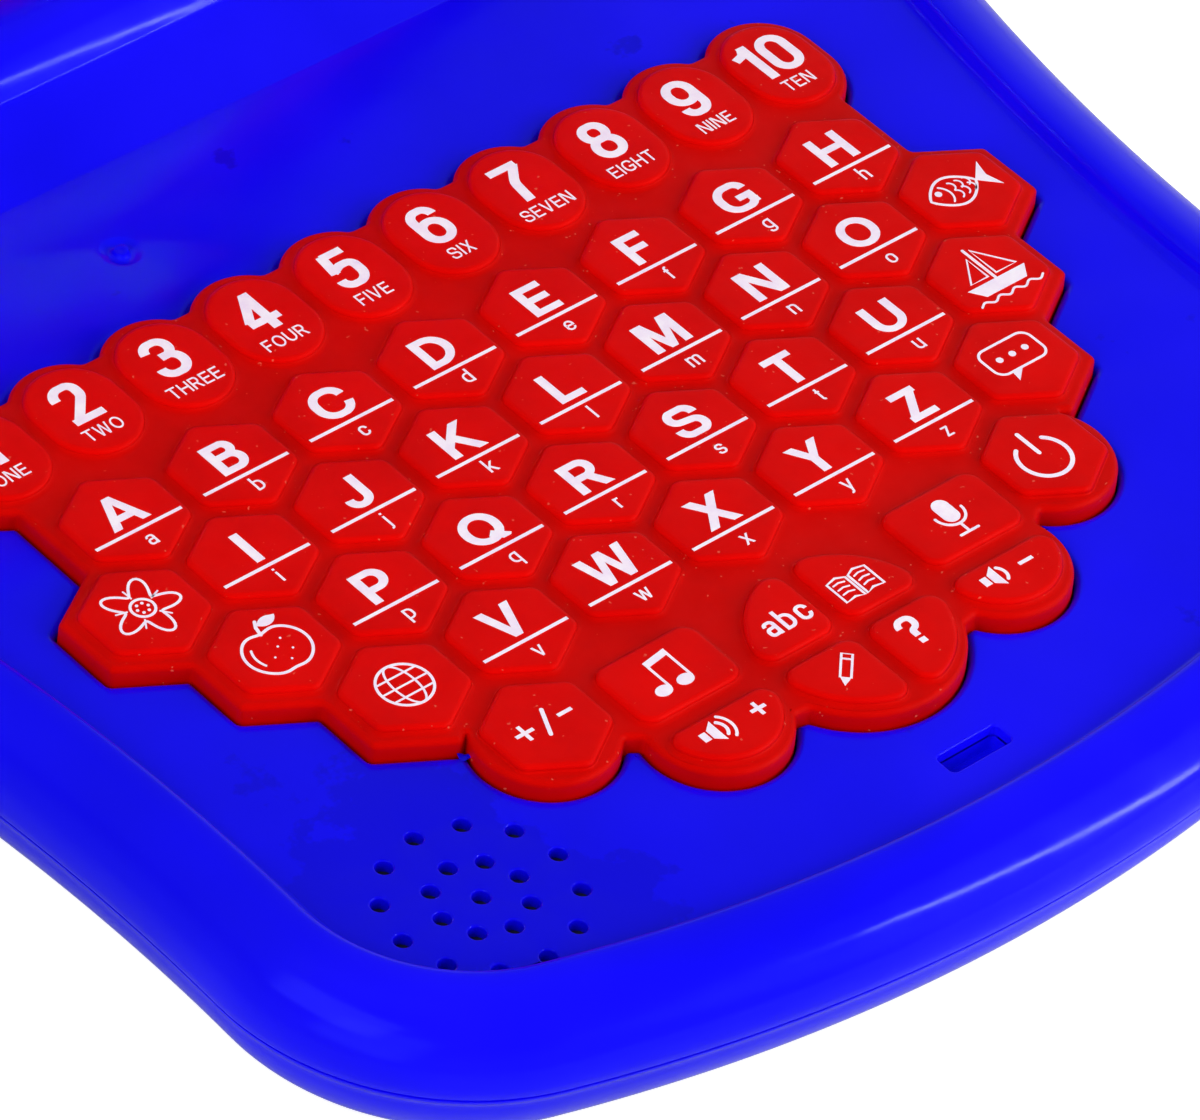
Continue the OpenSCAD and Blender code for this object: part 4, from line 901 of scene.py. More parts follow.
# One pen's strokes for each character on a cap height of 100: points "x,y" or
# "x,y,corner radius", strokes parted by ";", a closed stroke led by "o".
STROKES = {
    "A": "6.2,-10 48,100 89.8,-10;25,30 71,30",
    "B": "11,0 11,100;5,91.5 65,91.5,19 65,54.5,19 5,54.5;5,54.5 69,54.5,23 69,9,23 5,9",
    "C": "83,64 80,91,38 11,91,40 11,9,40 81,9,38 85,37",
    "D": "11,0 11,100;5,91 74,91,41 74,9,41 5,9",
    "E": "11,0 11,100;5,91 74,91;5,51.5 70,51.5;5,9 76,9",
    "F": "11,0 11,100;5,91 70,91;5,50 62,50",
    "G": "84,69 82,91,38 11,91,41 11,9,41 80,9,30 85,30;83,12 83,46;50,44 93,44",
    "H": "11,0 11,100;78,0 78,100;11,52 78,52",
    "I": "11,0 11,100",
    "J": "57,105 57,9,26 8,9,24 11,35",
    "K": "11,0 11,100;11,33 80,108;38,60 88,-10",
    "L": "11,0 11,100;5,9 70,9",
    "M": "11,0 11,100;91,0 91,100;14,112 51,4 88,112",
    "N": "11,0 11,100;79,0 79,100;11.7,104 78.3,-4",
    "O": "o11,9,39 11,91,39 87,91,39 87,9,39",
    "P": "11,0 11,100;5,91 67,91,25 67,41,25 5,41",
    "Q": "o11,9,39 11,91,39 87,91,39 87,9,39;56,28 90,-2",
    "R": "11,0 11,100;5,91 69,91,23 69,47,23 5,47;46,50 80,-6",
    "S": "75,67 75,91.5,26 12,91.5,26 12,56,20 76,47,20 76,8.5,26 9,8.5,26 9,34",
    "T": "0,91 78,91;39,0 39,100",
    "U": "11,110 11,8.5,34 77,8.5,34 77,110",
    "V": "7,110 45,0 83,110",
    "W": "7,107 33,0 61,100 89,0 115,107",
    "X": "6,-6 80,106;6,106 80,-6",
    "Y": "6,108 43,45 80,108;43,0 43,50",
    "Z": "3,91 74,91;2,9 76,9;11,4 65,96",
    "1": "36,0 36,100;37,95 27,79,10 5,73",
    "2": "10,66 10,91,24 57,91,24 57,60,20 13,9;3,9 66,9",
    "3": "9,72 11,91,23 55,91,20 55,53,18 26,53;26,54 58,54,20 58,9,24 8,9,24 8,30",
    "4": "43,0 43,100;43,96 6,32;2,27 66,27",
    "5": "16,91 61,91;18,95 12,46;10,50 30,60,12 57,60,24 57,9,26 8,9,24 8,28",
    "6": "o10,9,23 10,60,23 57,60,23 57,9,23;10,36 10,91,30 54,91,24 55,73",
    "7": "2,91 64,91;59,91 30,52,30 23,-6",
    "8": "o12,53,18 12,91,18 54,91,18 54,53,18;o9,9,22 9,54,22 57,54,22 57,9,22",
    "9": "o56,91,23 56,40,23 9,40,23 9,91,23;56,64 56,9,30 12,9,24 11,27",
    "0": "o9.5,9,23 9.5,91,23 56,91,23 56,9,23",
    "?": "9,68 9,91,24 56,91,24 56,58,18 33,48,8 33,28;33,0 33,18",
    "a": "8,53 8,67,14 43,67,14 43,-1;43,41 6,38,13 6,6,13 43,8,16 43,28",
    "b": "6,0 6,100;6,6 46,6,24 46,67,24 6,67",
    "c": "44,48 42,67,20 6,67,24 6,6,24 42,6,20 45,26",
    "d": "46,0 46,100;46,67 6,67,24 6,6,24 46,6",
    "e": "6,37 47,37 47,67,22 6,67,24 6,6,24 42,6,20 46,22",
    "f": "17,0 17,94,12 32,94;3,67 31,67",
    "g": "46,67 6,67,24 6,8,24 46,8;46,73 46,-22,16 8,-22,14 7,-8",
    "h": "6,0 6,100;6,50 6,67,20 44,67,18 44,0",
    "i": "6,0 6,73;6,88 6,100",
    "j": "12,73 12,-22,10 -2,-22;12,88 12,100",
    "k": "6,0 6,100;6,24 48,76;20,42 50,-3",
    "l": "6,0 6,100",
    "m": "6,0 6,73;6,50 6,67,16 40,67,14 40,0;40,50 40,67,16 74,67,14 74,0",
    "n": "6,0 6,73;6,50 6,67,20 44,67,18 44,0",
    "o": "o6,6,23 6,67,23 48,67,23 48,6,23",
    "p": "6,-28 6,73;6,6 46,6,24 46,67,24 6,67",
    "q": "46,-28 46,73;46,67 6,67,24 6,6,24 46,6",
    "r": "6,0 6,73;6,46 6,67,16 30,67",
    "s": "42,52 40,67,14 6,67,14 6,40,12 43,34,12 43,6,14 6,6,14 5,21",
    "t": "14,92 14,6,9 27,6;2,67 28,67",
    "u": "6,73 6,6,18 44,6,20 44,22;44,0 44,73",
    "v": "1,76 24,0 47,76",
    "w": "1,76 20,0 37,73 54,0 73,76",
    "x": "1,-3 46,76;1,76 46,-3",
    "y": "1,76 24,2;48,76 24,4 16,-22,8 4,-22",
    "z": "3,67 42,67;2,6 45,6;6,4 40,69",
}
BOLD, DIGIT, WORD, SMALL = 22, 19, 13.5, 12
FLAT = 0.85              # level strokes are this much thinner than upright ones
X_HEIGHT, DESCENT = 73, -28


def pen_path(stroke):
    """A stroke's points with each corner turned on its radius, and whether it is closed."""
    closed = stroke[0] == "o"
    q = [[float(v) for v in word.split(",")] for word in stroke.lstrip("o").split()]
    p = np.array([v[:2] for v in q])
    round_at = [len(v) > 2 for v in q]
    out = []
    for k, v in enumerate(q):
        before, after = k - 1, (k + 1) % len(q)
        if not round_at[k]:
            out.append(p[k][None])
            continue
        a, b = p[before] - p[k], p[after] - p[k]
        la, lb = np.linalg.norm(a), np.linalg.norm(b)
        a, b = a / la, b / lb
        half = math.acos(max(-1.0, min(1.0, -(a @ b)))) / 2
        room = min(la * (0.499 if round_at[before] else 0.98), lb * (0.499 if round_at[after] else 0.98))
        t = min(v[2] * math.tan(half), room)
        r = t / math.tan(half)
        centre = p[k] + (a + b) / np.linalg.norm(a + b) * r / math.cos(half)
        start = p[k] + a * t - centre
        turn = np.linspace(0, 2 * half, max(3, int(math.degrees(half) / 4)))
        turn = turn * np.sign(a[1] * b[0] - a[0] * b[1])
        c, s = np.cos(turn), np.sin(turn)
        out.append(centre + np.stack([c * start[0] - s * start[1], s * start[0] + c * start[1]], -1))
    return np.vstack(out), closed


def pen_loops(p, closed, width, flat=1.0):
    """The edges of a stroke of the pen: butt ends, mitred joins."""
    d = np.roll(p, -1, 0) - p
    d /= np.maximum(np.linalg.norm(d, axis=1), 1e-9)[:, None]
    n = np.stack([-d[:, 1], d[:, 0]], -1)
    n0 = np.roll(n, 1, 0)
    if not closed:
        n0[0], n[-1] = n[0], n0[-1]
    m = (n0 + n) / (1 + (n0 * n).sum(1))[:, None] * [width / 2, flat * width / 2]
    return [p + m, p - m] if closed else [np.vstack([p + m, (p - m)[::-1]])]


def trimmed(ring, y, sign):
    """The ring cut off beyond the level y: above it for sign 1, below it for -1."""
    s = (y - ring[:, 1]) * sign
    out = []
    for a, b, sa, sb in zip(ring, np.roll(ring, -1, 0), s, np.roll(s, -1)):
        if sa >= 0:
            out.append(a)
        if (sa < 0) != (sb < 0):
            out.append(a + (b - a) * sa / (sa - sb))
    return np.array(out)


GLYPHS = {}


def glyph(letter, pen):
    """Points and triangles of a character drawn with a pen of that width."""
    if (letter, pen) not in GLYPHS:
        small = letter.islower()
        shapes = []
        for stroke in STROKES[letter].split(";"):
            p, closed = pen_path(stroke)
            if not small:
                p = np.column_stack([p[:, 0], 50 + (p[:, 1] - 50) * (100 - FLAT * pen) / (100 - FLAT * BOLD)])
            high = X_HEIGHT if small and p[:, 1].max() < 80 else 100
            low = DESCENT if small and p[:, 1].min() < -8 else 0
            shapes.append([trimmed(trimmed(l, high, 1), low, -1)
                           for l in pen_loops(p, closed, pen, FLAT)])
        GLYPHS[letter, pen] = union_fill(shapes)
    return GLYPHS[letter, pen]


class Print:
    """Collects flat inked shapes and sets them on a key's top as thin films."""
    top = KEY + 0.035

    def __init__(self):
        self.pts, self.faces, self.at, self.films = [], [], 0, 0

    def add(self, xy, faces):
        """A film over the flat faces, walled along its edges."""
        xy = np.asarray(xy, float)
        self.films += 1
        lift = 0.004 * (self.films % 8)     # shapes that cross never share a plane
        for z in (self.top, self.top + 0.05 + lift):
            self.pts.append(np.column_stack([xy, np.full(len(xy), z)]))
        n = len(xy)
        edges = dict.fromkeys((a, b) for f in faces for a, b in zip(f, list(f[1:]) + [f[0]]))
        self.faces += [[i + self.at for i in f[::-1]] for f in faces]
        self.faces += [[i + self.at + n for i in f] for f in faces]
        self.faces += [[a + self.at, b + self.at, b + self.at + n, a + self.at + n]
                       for a, b in edges if (b, a) not in edges]
        self.at += 2 * n

    def text(self, text, at, height, pen, stretch=1.0, gap=17.0):
        """Text with its baseline's middle at "at", capitals "height" tall and letters
        "gap" hundredths of that apart."""
        x, parts = 0.0, []
        for letter in text:
            xy, tri = glyph(letter, pen)
            parts.append((xy + [x - xy[:, 0].min(), 0], tri))
            x += np.ptp(xy[:, 0]) + gap
        k = height / 100
        for xy, tri in parts:
            self.add((xy - [(x - gap) / 2, 0]) * [k * stretch, k] + at, tri.tolist())

    def line(self, path, width, closed=False):
        """A stroke of constant width along the points, with round ends."""
        p = np.asarray(path, float)
        d = (np.roll(p, -1, 0) - np.roll(p, 1, 0)) if closed else np.gradient(p, axis=0)
        d /= np.maximum(np.linalg.norm(d, axis=1), 1e-9)[:, None]
        n = np.stack([-d[:, 1], d[:, 0]], -1) * width / 2
        if closed:
            faces = grid_faces(len(p), 2, True, False)
            self.add(np.stack([p + n, p - n], 1).reshape(-1, 2), faces)
            return
        a0, a1 = heading(n[0]), heading(-n[-1])
        ring = np.vstack([p + n, arc(p[-1], width / 2, a1 + 180, a1, 8)[1:-1],
                          (p - n)[::-1], arc(p[0], width / 2, a0 + 180, a0, 8)[1:-1]])
        self.add(ring, [tuple(t) for t in planar_fill([ring])])

    def shape(self, *loops):
        """The area between closed loops, by the even-odd rule."""
        self.add(np.vstack(loops), [tuple(t) for t in planar_fill([np.asarray(l, float) for l in loops])])

    def done(self, name, body):
        """Makes one piece of all the films."""
        return piece(name, np.vstack(self.pts), self.faces, white_ink, body, tidy=False, crease=30)


def letter_print(p, c, letter):
    """The capital, a rule and the small letter."""
    p.text(letter.upper(), (c[0], c[1] - 1.7), 6.1, BOLD, 1.04)
    p.shape(np.array([(-7.3, -0.26), (7.3, -0.26), (7.3, 0.26), (-7.3, 0.26)]) + [c[0], c[1] - 2.9])
    p.text(letter, (c[0] + 0.1, c[1] - 6.5), 2.7, SMALL, 1.04)


def flower(p, c):
    """Five petals round a ring: r = 4.1 + 1.5 cos(5t + 0.9)."""
    t = np.linspace(0, 2 * math.pi, 91)[:-1]
    r = 4.1 + 1.5 * np.cos(5 * t + 0.9)
    p.line(np.column_stack([c[0] + r * np.cos(t), c[1] + 0.4 + r * np.sin(t)]), 0.4, True)
    p.line(circle((c[0], c[1] + 0.4), 1.7, 30), 0.4, True)
    for a in np.radians(np.arange(0, 360, 60)):
        p.shape(circle((c[0] + 0.9 * math.cos(a), c[1] + 0.4 + 0.9 * math.sin(a)), 0.24, 10))
    for a in np.radians(np.arange(72 * 0.3, 360, 72)):
        q = np.linspace(2.3, 3.9, 6)
        p.line(np.column_stack([c[0] + q * math.cos(a), c[1] + 0.4 + q * math.sin(a)]), 0.25)


def apple(p, c):
    """Apple: a circle dented above and below, with stalk, leaf and a shine mark."""
    t = np.linspace(0, 2 * math.pi, 81)[:-1]
    above, below = (t - math.pi / 2) / 0.38, (t - 1.5 * math.pi) / 0.3
    dent = 1 - 0.2 * np.exp(-above ** 2) - 0.1 * np.exp(-below ** 2)
    x, y = 4.9 * dent * np.cos(t), 4.4 * dent * np.sin(t) - 0.6
    p.line(np.column_stack([c[0] + x, c[1] + y]), 0.42, True)
    p.line([(c[0], c[1] + 2.8), (c[0] + 0.3, c[1] + 4.2), (c[0] + 0.9, c[1] + 5.2)], 0.5)
    p.shape(np.vstack([arc((c[0] + 2.4, c[1] + 3.4), 2.0, 150, 60, 8),
                       arc((c[0] + 2.2, c[1] + 5.6), 1.9, -20, -120, 8)]))
    p.line(arc((c[0], c[1] - 0.6), 3.5, 150, 205, 10), 0.35)
    for dx, dy in ((-1.2, -1.6), (0.4, -0.2), (1.9, -1.5), (0.5, -3.0), (1.7, 0.9)):
        p.shape(circle((c[0] + dx, c[1] + dy), 0.17, 10))


def fish(p, c):
    """Fish: lens-shaped body, fan tail, gill, eye and rows of scale arcs."""
    t = np.linspace(0, 1, 26)
    top = np.column_stack([-5.6 + 8.6 * t, 3.0 * np.sin(math.pi * t) ** 0.8])
    body = np.vstack([top, (top * [1, -1])[::-1][1:-1]])
    p.line(body + c, 0.42, True)
    tail = np.array([(2.9, 0), (5.8, 2.9), (5.0, 0), (5.8, -2.9)])
    p.shape(tail + c)
    p.shape(circle((c[0] - 3.6, c[1] + 0.7), 0.55, 16))
    p.line(arc((c[0] - 4.2, c[1]), 2.3, -50, 50, 12), 0.3)
    for k in range(3):
        for h in (-0.9, 0.9):
            p.line(arc((c[0] - 1.3 + 1.3 * k, c[1] + h * (1 - 0.15 * k)), 0.9, -70, 70, 8), 0.26)


def sailing_boat(p, c):
    """Boat: filled hull, two outlined sails, wave line."""
    hull = np.array([(-5.4, -1.6), (5.4, -1.6), (3.8, -3.9), (-3.8, -3.9)])
    p.shape(hull + c)
    p.line([(c[0], c[1] - 1.6), (c[0], c[1] + 2), (c[0], c[1] + 5.3)], 0.45)
    p.line(np.array([(0.8, -0.8), (4.6, -0.8), (0.8, 4.8)]) + c, 0.36, True)
    p.line(np.array([(-0.8, -0.8), (-4.0, -0.8), (-0.8, 3.6)]) + c, 0.36, True)
    x = np.linspace(-6, 6, 40)
    p.line(np.column_stack([c[0] + x, c[1] - 5.0 + 0.35 * np.sin(2.2 * x)]), 0.34)


def music_note(p, c):
    """Two notes under one beam."""
    for dx in (-1.9, 1.9):
        e = circle((0, 0), 1.0, 20) * [1.35, 1.0]
        p.shape(e + [c[0] + dx - 0.9, c[1] - 2.4])
        p.line([(c[0] + dx + 0.3, c[1] - 2.3), (c[0] + dx + 0.3, c[1]), (c[0] + dx + 0.3, c[1] + 2.6)], 0.4)
    p.shape(np.array([(-1.8, 2.0), (2.4, 2.6), (2.4, 3.7), (-1.8, 3.1)]) + c)


def microphone(p, c):
    """A capsule in a cradle on a foot."""
    p.shape(round_rect((c[0], c[1] + 1.3), 2.7, 4.6, 1.3))
    p.line(arc((c[0], c[1] + 0.8), 2.4, 180, 360, 16), 0.42)
    p.line([(c[0], c[1] - 1.7), (c[0], c[1] - 2.6), (c[0], c[1] - 3.4)], 0.42)
    p.line([(c[0] - 1.6, c[1] - 3.5), (c[0], c[1] - 3.5), (c[0] + 1.6, c[1] - 3.5)], 0.42)


def open_book(p, c):
    """Two pages with three lines each."""
    for s in (-1, 1):
        q = np.array([(0.25, -2.1), (1.6, -1.6), (3.4, -1.9), (3.4, 2.2), (1.6, 2.6), (0.25, 2.0)])
        p.line(q * [s, 1] + c, 0.36, True)
        for k in (-0.6, 0.4, 1.4):
            p.line(np.array([(0.9 * s, k), (1.8 * s, k + 0.25), (2.8 * s, k + 0.1)]) + c, 0.26)


def pencil(p, c):
    """A barrel with a solid point, turned by 45 degrees."""
    turn = np.array([[0.707, 0.707], [-0.707, 0.707]])
    p.line(np.array([(-2.0, -0.75), (2.6, -0.75), (2.6, 0.75), (-2.0, 0.75)]) @ turn + c, 0.36, True)
    p.shape(np.array([(-2.0, -0.75), (-2.0, 0.75), (-3.6, 0)]) @ turn + c)
    p.line(np.array([(1.6, -0.75), (1.6, 0), (1.6, 0.75)]) @ turn + c, 0.3)


def globe(p, c):
    """A circle with one oval meridian and three parallels."""
    p.line(circle(c, 3.9, 48), 0.4, True)
    p.line(circle((0, 0), 1, 40) * [1.7, 3.9] + c, 0.32, True)
    for y, w in ((0, 3.9), (1.9, 3.4), (-1.9, 3.4)):
        p.line([(c[0] - w, c[1] + y), (c[0], c[1] + y), (c[0] + w, c[1] + y)], 0.3)


def speech_bubble(p, c):
    """A rounded bubble with a tail and three dots."""
    ring = round_rect((c[0], c[1] + 0.9), 9.4, 5.6, 1.6)
    p.line(ring, 0.4, True)
    p.shape(np.array([(-2.6, -1.7), (-0.4, -1.7), (-2.9, -3.8)]) + c)
    for dx in (-2.4, 0, 2.4):
        p.shape(circle((c[0] + dx, c[1] + 0.9), 0.55, 14))


def signs(p, c, half, plus):
    """A minus sign, or a plus made as one cross-shaped outline."""
    w, h = 0.29, half
    minus = [(-h, -w), (h, -w), (h, w), (-h, w)]
    cross = [(-h, -w), (-w, -w), (-w, -h), (w, -h), (w, -w), (h, -w),
             (h, w), (w, w), (w, h), (-w, h), (-w, w), (-h, w)]
    p.shape(np.array(cross if plus else minus) + c)


def loudspeaker(p, c, waves):
    """A magnet, a cone and its sound waves."""
    p.shape(np.array([(-3.4, -0.8), (-2.3, -0.8), (-2.3, 0.8), (-3.4, 0.8)]) + c)
    p.shape(np.array([(-1.95, -0.85), (-0.5, -2.0), (-0.5, 2.0), (-1.95, 0.85)]) + c)
    for k in range(waves):
        p.line(arc((c[0] - 1.0, c[1]), 1.7 + 1.1 * k, -48, 48, 12), 0.5 - 0.06 * k)


for name, shapes in keys.items():
    ink = Print()
    c = shapes[0][0]
    tail = name[4:]
    if name.startswith("key_") and len(tail) == 1 and tail.isalpha():
        letter_print(ink, c, tail)
    elif name.startswith("key_") and tail.isdigit():
        ink.text(tail, (c[0] - 0.45, c[1] - 2.35), 8.0, DIGIT, 1.0, 10)
        ink.text(NUMBER_WORDS[int(tail) - 1], (c[0] - 0.45, c[1] - 5.9), 2.3, WORD, 0.84, 19)
    elif name == "left_side_keys":
        flower(ink, shapes[0][0])
        apple(ink, shapes[1][0])
        globe(ink, shapes[2][0])
    elif name == "right_side_keys":
        fish(ink, shapes[0][0])
        sailing_boat(ink, shapes[1][0])
        speech_bubble(ink, shapes[2][0])
    elif name == "mode_keys":
        ax, ay = DISC_C
        open_book(ink, (ax + 6.0, ay + 5.4))
        ink.text("abc", (ax - 6.2, ay + 4.2), 4.0, 15, 1.0)
        pencil(ink, (ax - 6.0, ay - 5.6))
        ink.text("?", (ax + 6.0, ay - 8.2), 5.4, DIGIT, 1.0)
        music_note(ink, (-SONG_KEY[0], SONG_KEY[1]))
        microphone(ink, SONG_KEY)
    elif name == "volume_keys":
        for (key_at, _, _), cone_x, sign_x, waves in zip(shapes, (-1.9, -2.0), (4.6, 2.5), (2, 1)):
            loudspeaker(ink, (key_at[0] + cone_x, key_at[1] - 3.2), waves)
            signs(ink, (key_at[0] + sign_x, key_at[1] - 3.2), 1.25, waves == 2)
    elif name == "key_plus_minus":
        x, y = c[0], c[1] + 0.2
        signs(ink, (x - 3.6, y), 1.5, True)
        ink.line([(x - 0.9, y - 2.1), (x + 0.1, y), (x + 1.1, y + 2.1)], 0.6)
        signs(ink, (x + 3.3, y), 1.2, False)
    elif name == "key_power":
        x, y = c[0] - 0.8, c[1] - 0.7
        ink.line(arc((x, y), 3.9, 128, 412, 44), 0.65)
        ink.line([(x, y + 1.0), (x, y + 3.0), (x, y + 5.4)], 0.65)
    ink.done("print_" + name, "press_" + name)


# ------------------------------------------------------------------- the lid

# heights with the lid closed: the skirt's crest, the back, the surround's, the sheet's and
# the card's faces
LID_LOW, LID_TOP, FRAME_Z, WINDOW_Z, CARD_Z = 25.5, 41.0, 34.0, 35.8, 36.7
SHOULDER_R, LID_SKIN = 7.5, 2.0      # the back's rounded edge, and the shell's thickness
BACK_IN = 14.0                       # inset of the flat back's edge, under the shoulder's


def lid_skirt_section():
    """The crest and the part of the lid's wall in front of the frame."""
    t = np.radians(np.linspace(90, 0, 24))
    outer = np.stack([12 - 12 * np.cos(t), LID_LOW + 5.7 * (1 - np.sin(t))], -1)
    t = np.radians(np.linspace(0, 90, 14))
    inner = np.stack([11 - 9 * np.cos(t), 32.2 - 4.7 * np.sin(t)], -1)
    return np.vstack([[(13, FRAME_Z), (13, 26.4), (12.85, 25.9), (12.5, 25.6)], outer,
                      [(0, FRAME_Z), (2, FRAME_Z)], inner, [(11, FRAME_Z)]])


def lid_back_section():
    """The round shoulder between the lid's wall and its flat back: two quarter circles
    about one centre."""
    centre = (SHOULDER_R, LID_TOP - SHOULDER_R)
    return np.vstack([arc(centre, SHOULDER_R, 180, 90, 22),
                      [(BACK_IN, LID_TOP), (BACK_IN, LID_TOP - LID_SKIN)],
                      arc(centre, SHOULDER_R - LID_SKIN, 90, 180, 22)])


lid_path, lid_normals = outline(LID_REAR_Y, LID_REAR_R, LID_STOP)
pts, faces = carried(lid_path, lid_normals, lid_skirt_section(), False)
piece("lid_skirt", opened(pts), faces, blue_abs, "lid", ("lid_shell",), crease=50)
lid_full, lid_full_n = outline(LID_REAR_Y, LID_REAR_R, 0.0)
lid_full, lid_full_n = lid_full[:-1], lid_full_n[:-1]
pts, faces = carried(lid_full, lid_full_n, lid_back_section(), True)
piece("lid_shoulder", opened(pts), faces, blue_abs, "lid", ("lid_shell",), crease=50)

# the lid's back is let in over its four screws
LID_SCREWS = [(s * x, y) for s in (1, -1) for x, y in ((86, -44), (92, 48))]
back_edge = (lid_full - BACK_IN * lid_full_n)[::-1]
pts, faces = plate(back_edge, [circle(p, 2.8, 32) for p in LID_SCREWS], LID_TOP,
                   LID_TOP - LID_SKIN, SQUARE, rounded_lip(0.3))
piece("lid_back", opened(pts), faces, blue_abs, "lid", ("lid_shell",), crease=40)


def arm_loop():
    """Side view of a lid arm: a disc round the pin, its tangent to the lid's rear edge,
    and the root inside the lid."""
    root = np.array([LID_REAR_Y, LID_TOP - 7.5])
    v = root - PIN
    lean = heading(v) - math.degrees(math.acos(CHEEK_R / np.linalg.norm(v)))
    return np.vstack([arc(PIN, CHEEK_R, 180, 360 + lean, 50), [root, root - (3.2, 0)],
                      [(LID_REAR_Y - 3.2, 39), (PIN[0] - CHEEK_R, 39)]])


for side, word in ((1, "right"), (-1, "left")):
    pts, faces = along_x(arm_loop(), *span(side, HUMP_X + 0.4, NOTCH_X - 0.4))
    piece(f"lid_arm_{word}", opened(pts), faces, blue_abs, "lid", ("lid_shell",))
    cap = [(LID_REAR_Y - i - 0.3, z + 0.3) for i, z in lid_skirt_section()[:28] if z < FRAME_Z]
    cap += [(LID_REAR_Y - 0.3, FRAME_Z), (LID_REAR_Y - 13, FRAME_Z)]
    pts, faces = along_x(np.array(cap)[::-1], *span(side, LID_STOP + 0.3, LID_STOP + 2), 0.1)
    piece(f"lid_rim_end_{word}", opened(pts), faces, blue_abs, "lid", ("lid_shell",))

inner_edge = lid_full - 11.3 * lid_full_n
FRAME_REAR, FRAME_X, NOTCH_Y = LID_REAR_Y - 2.8, LID_STOP - 0.3, PIN[0] - 8.9
kept = inner_edge[(np.abs(inner_edge[:, 0]) > FRAME_X) | (inner_edge[:, 1] < 60)]
side_y = kept[0, 1]
rear = [(-FRAME_X, side_y), (-FRAME_X, FRAME_REAR), (-NOTCH_X, FRAME_REAR), (-NOTCH_X, NOTCH_Y),
        (-HUMP_X, NOTCH_Y), (-HUMP_X, FRAME_REAR), (HUMP_X, FRAME_REAR), (HUMP_X, NOTCH_Y),
        (NOTCH_X, NOTCH_Y), (NOTCH_X, FRAME_REAR), (FRAME_X, FRAME_REAR), (FRAME_X, side_y)]
frame_edge = evened(np.vstack([kept, rear]), 0.6, 0.15)
SCREEN_C, SCREEN_W, SCREEN_H = (0, -8), 140, 92
SHEET_W, SHEET_H = SCREEN_W + 10, SCREEN_H + 10      # a margin of 5 behind the surround
screen_hole = round_rect(SCREEN_C, SCREEN_W, SCREEN_H, 6, 12)
pts, faces = plate(frame_edge, [screen_hole], -FRAME_Z, -WINDOW_Z, rounded_lip(0.3), rounded_lip(0.9))
pts[:, 2] *= -1
piece("screen_surround", opened(pts), faces, red_abs, "lid", ("lid_frame",), crease=40)
tongue = np.array([(-87.65, 34.2), (-87.65, 20.0), (-87.3, 19.0),
                   (-86.1, 19.0), (-85.75, 20.0), (-85.75, 34.2)])
pts, faces = along_x(tongue, -4.25, 4.25)
piece("latch_tongue", opened(pts), faces, red_abs, "lid", ("lid_frame",))

window = round_rect(SCREEN_C, SHEET_W, SHEET_H, 3)
pts, faces = plate(window, [], WINDOW_Z + 0.8, WINDOW_Z, rounded_lip(0.2))
piece("screen_sheet", opened(pts), faces, window_clear, "lid", ("lid_window",), crease=40)
card = round_rect(SCREEN_C, SHEET_W - 0.4, SHEET_H - 0.4, 3)
pts, faces = plate(card, [], CARD_Z + 0.3, CARD_Z, rounded_lip(0.1))
piece("picture_sheet", opened(pts), faces, card_white, "lid", ("picture_card",), crease=40)


class CardPrint(Print):
    """Ink on the lid's picture card, seen through the screen: x runs mirrored."""
    top = CARD_Z - 0.07

    def done(self, name, material):
        """Makes one piece of all the films, on the lid."""
        pts = np.vstack(self.pts) * [-1, 1, 1]
        return piece(name, opened(pts), self.faces, material, "lid", tidy=False, crease=30)


def star(c, r):
    """Ten points, at r and 0.42 r in turn."""
    t = np.radians(90 + 36 * np.arange(10))
    k = np.where(np.arange(10) % 2 == 0, r, 0.42 * r)
    return np.column_stack([c[0] + k * np.cos(t), c[1] + k * np.sin(t)])


def heart(c, r):
    """x = 16 sin^3 t, y = 13 cos t - 5 cos 2t - 2 cos 3t - cos 4t, over 17."""
    t = np.linspace(0, 2 * math.pi, 41)[:-1]
    x = 16 * np.sin(t) ** 3
    y = 13 * np.cos(t) - 5 * np.cos(2 * t) - 2 * np.cos(3 * t) - np.cos(4 * t)
    return np.column_stack([c[0] + r * x / 17, c[1] + r * y / 17])


def disc(c, r):
    """A circle of 0.85 r."""
    return circle(c, 0.85 * r, 48)


def soft_square(c, r):
    """A square with round corners, 1.5 r wide."""
    return round_rect(c, 1.5 * r, 1.5 * r, 1.2)


def triangle(c, r):
    """A triangle on its base, 1.9 r wide and 1.65 r high."""
    return np.array([(c[0] - 0.95 * r, c[1] - 0.75 * r), (c[0] + 0.95 * r, c[1] - 0.75 * r),
                     (c[0], c[1] + 0.9 * r)])


inks = {word: plain_finish(word + "_offset_ink", dark, light, 5, 0.6, 0.01) for word, dark, light in (
    ("sky_blue", "#58B4EC", "#74C6F6"), ("yellow", "#F6CC1E", "#FDDD4A"),
    ("green", "#3DAE50", "#56C468"), ("pink", "#EE6E9C", "#F88AB2"))}
tiles = [(x, y) for y in (-32.5, -8, 16.5) for x in (-52, -26, 0, 26, 52)]
forms = [star, heart, disc, soft_square, triangle]
for j, word in enumerate(("sky_blue", "yellow", "green", "pink")):
    ink = CardPrint()
    for k, c in enumerate(tiles):
        if (k + k // 5) % 4 == j:
            form = forms[(k + 2 * (k // 5)) % 5](c, 7.5)
            form = form if area(form) > 0 else form[::-1]
            ink.shape(round_rect(c, 22, 21, 3.5), form)
    ink.done("card_ink_" + word, inks[word])

# ------------------------------------------------------- carried-over solids

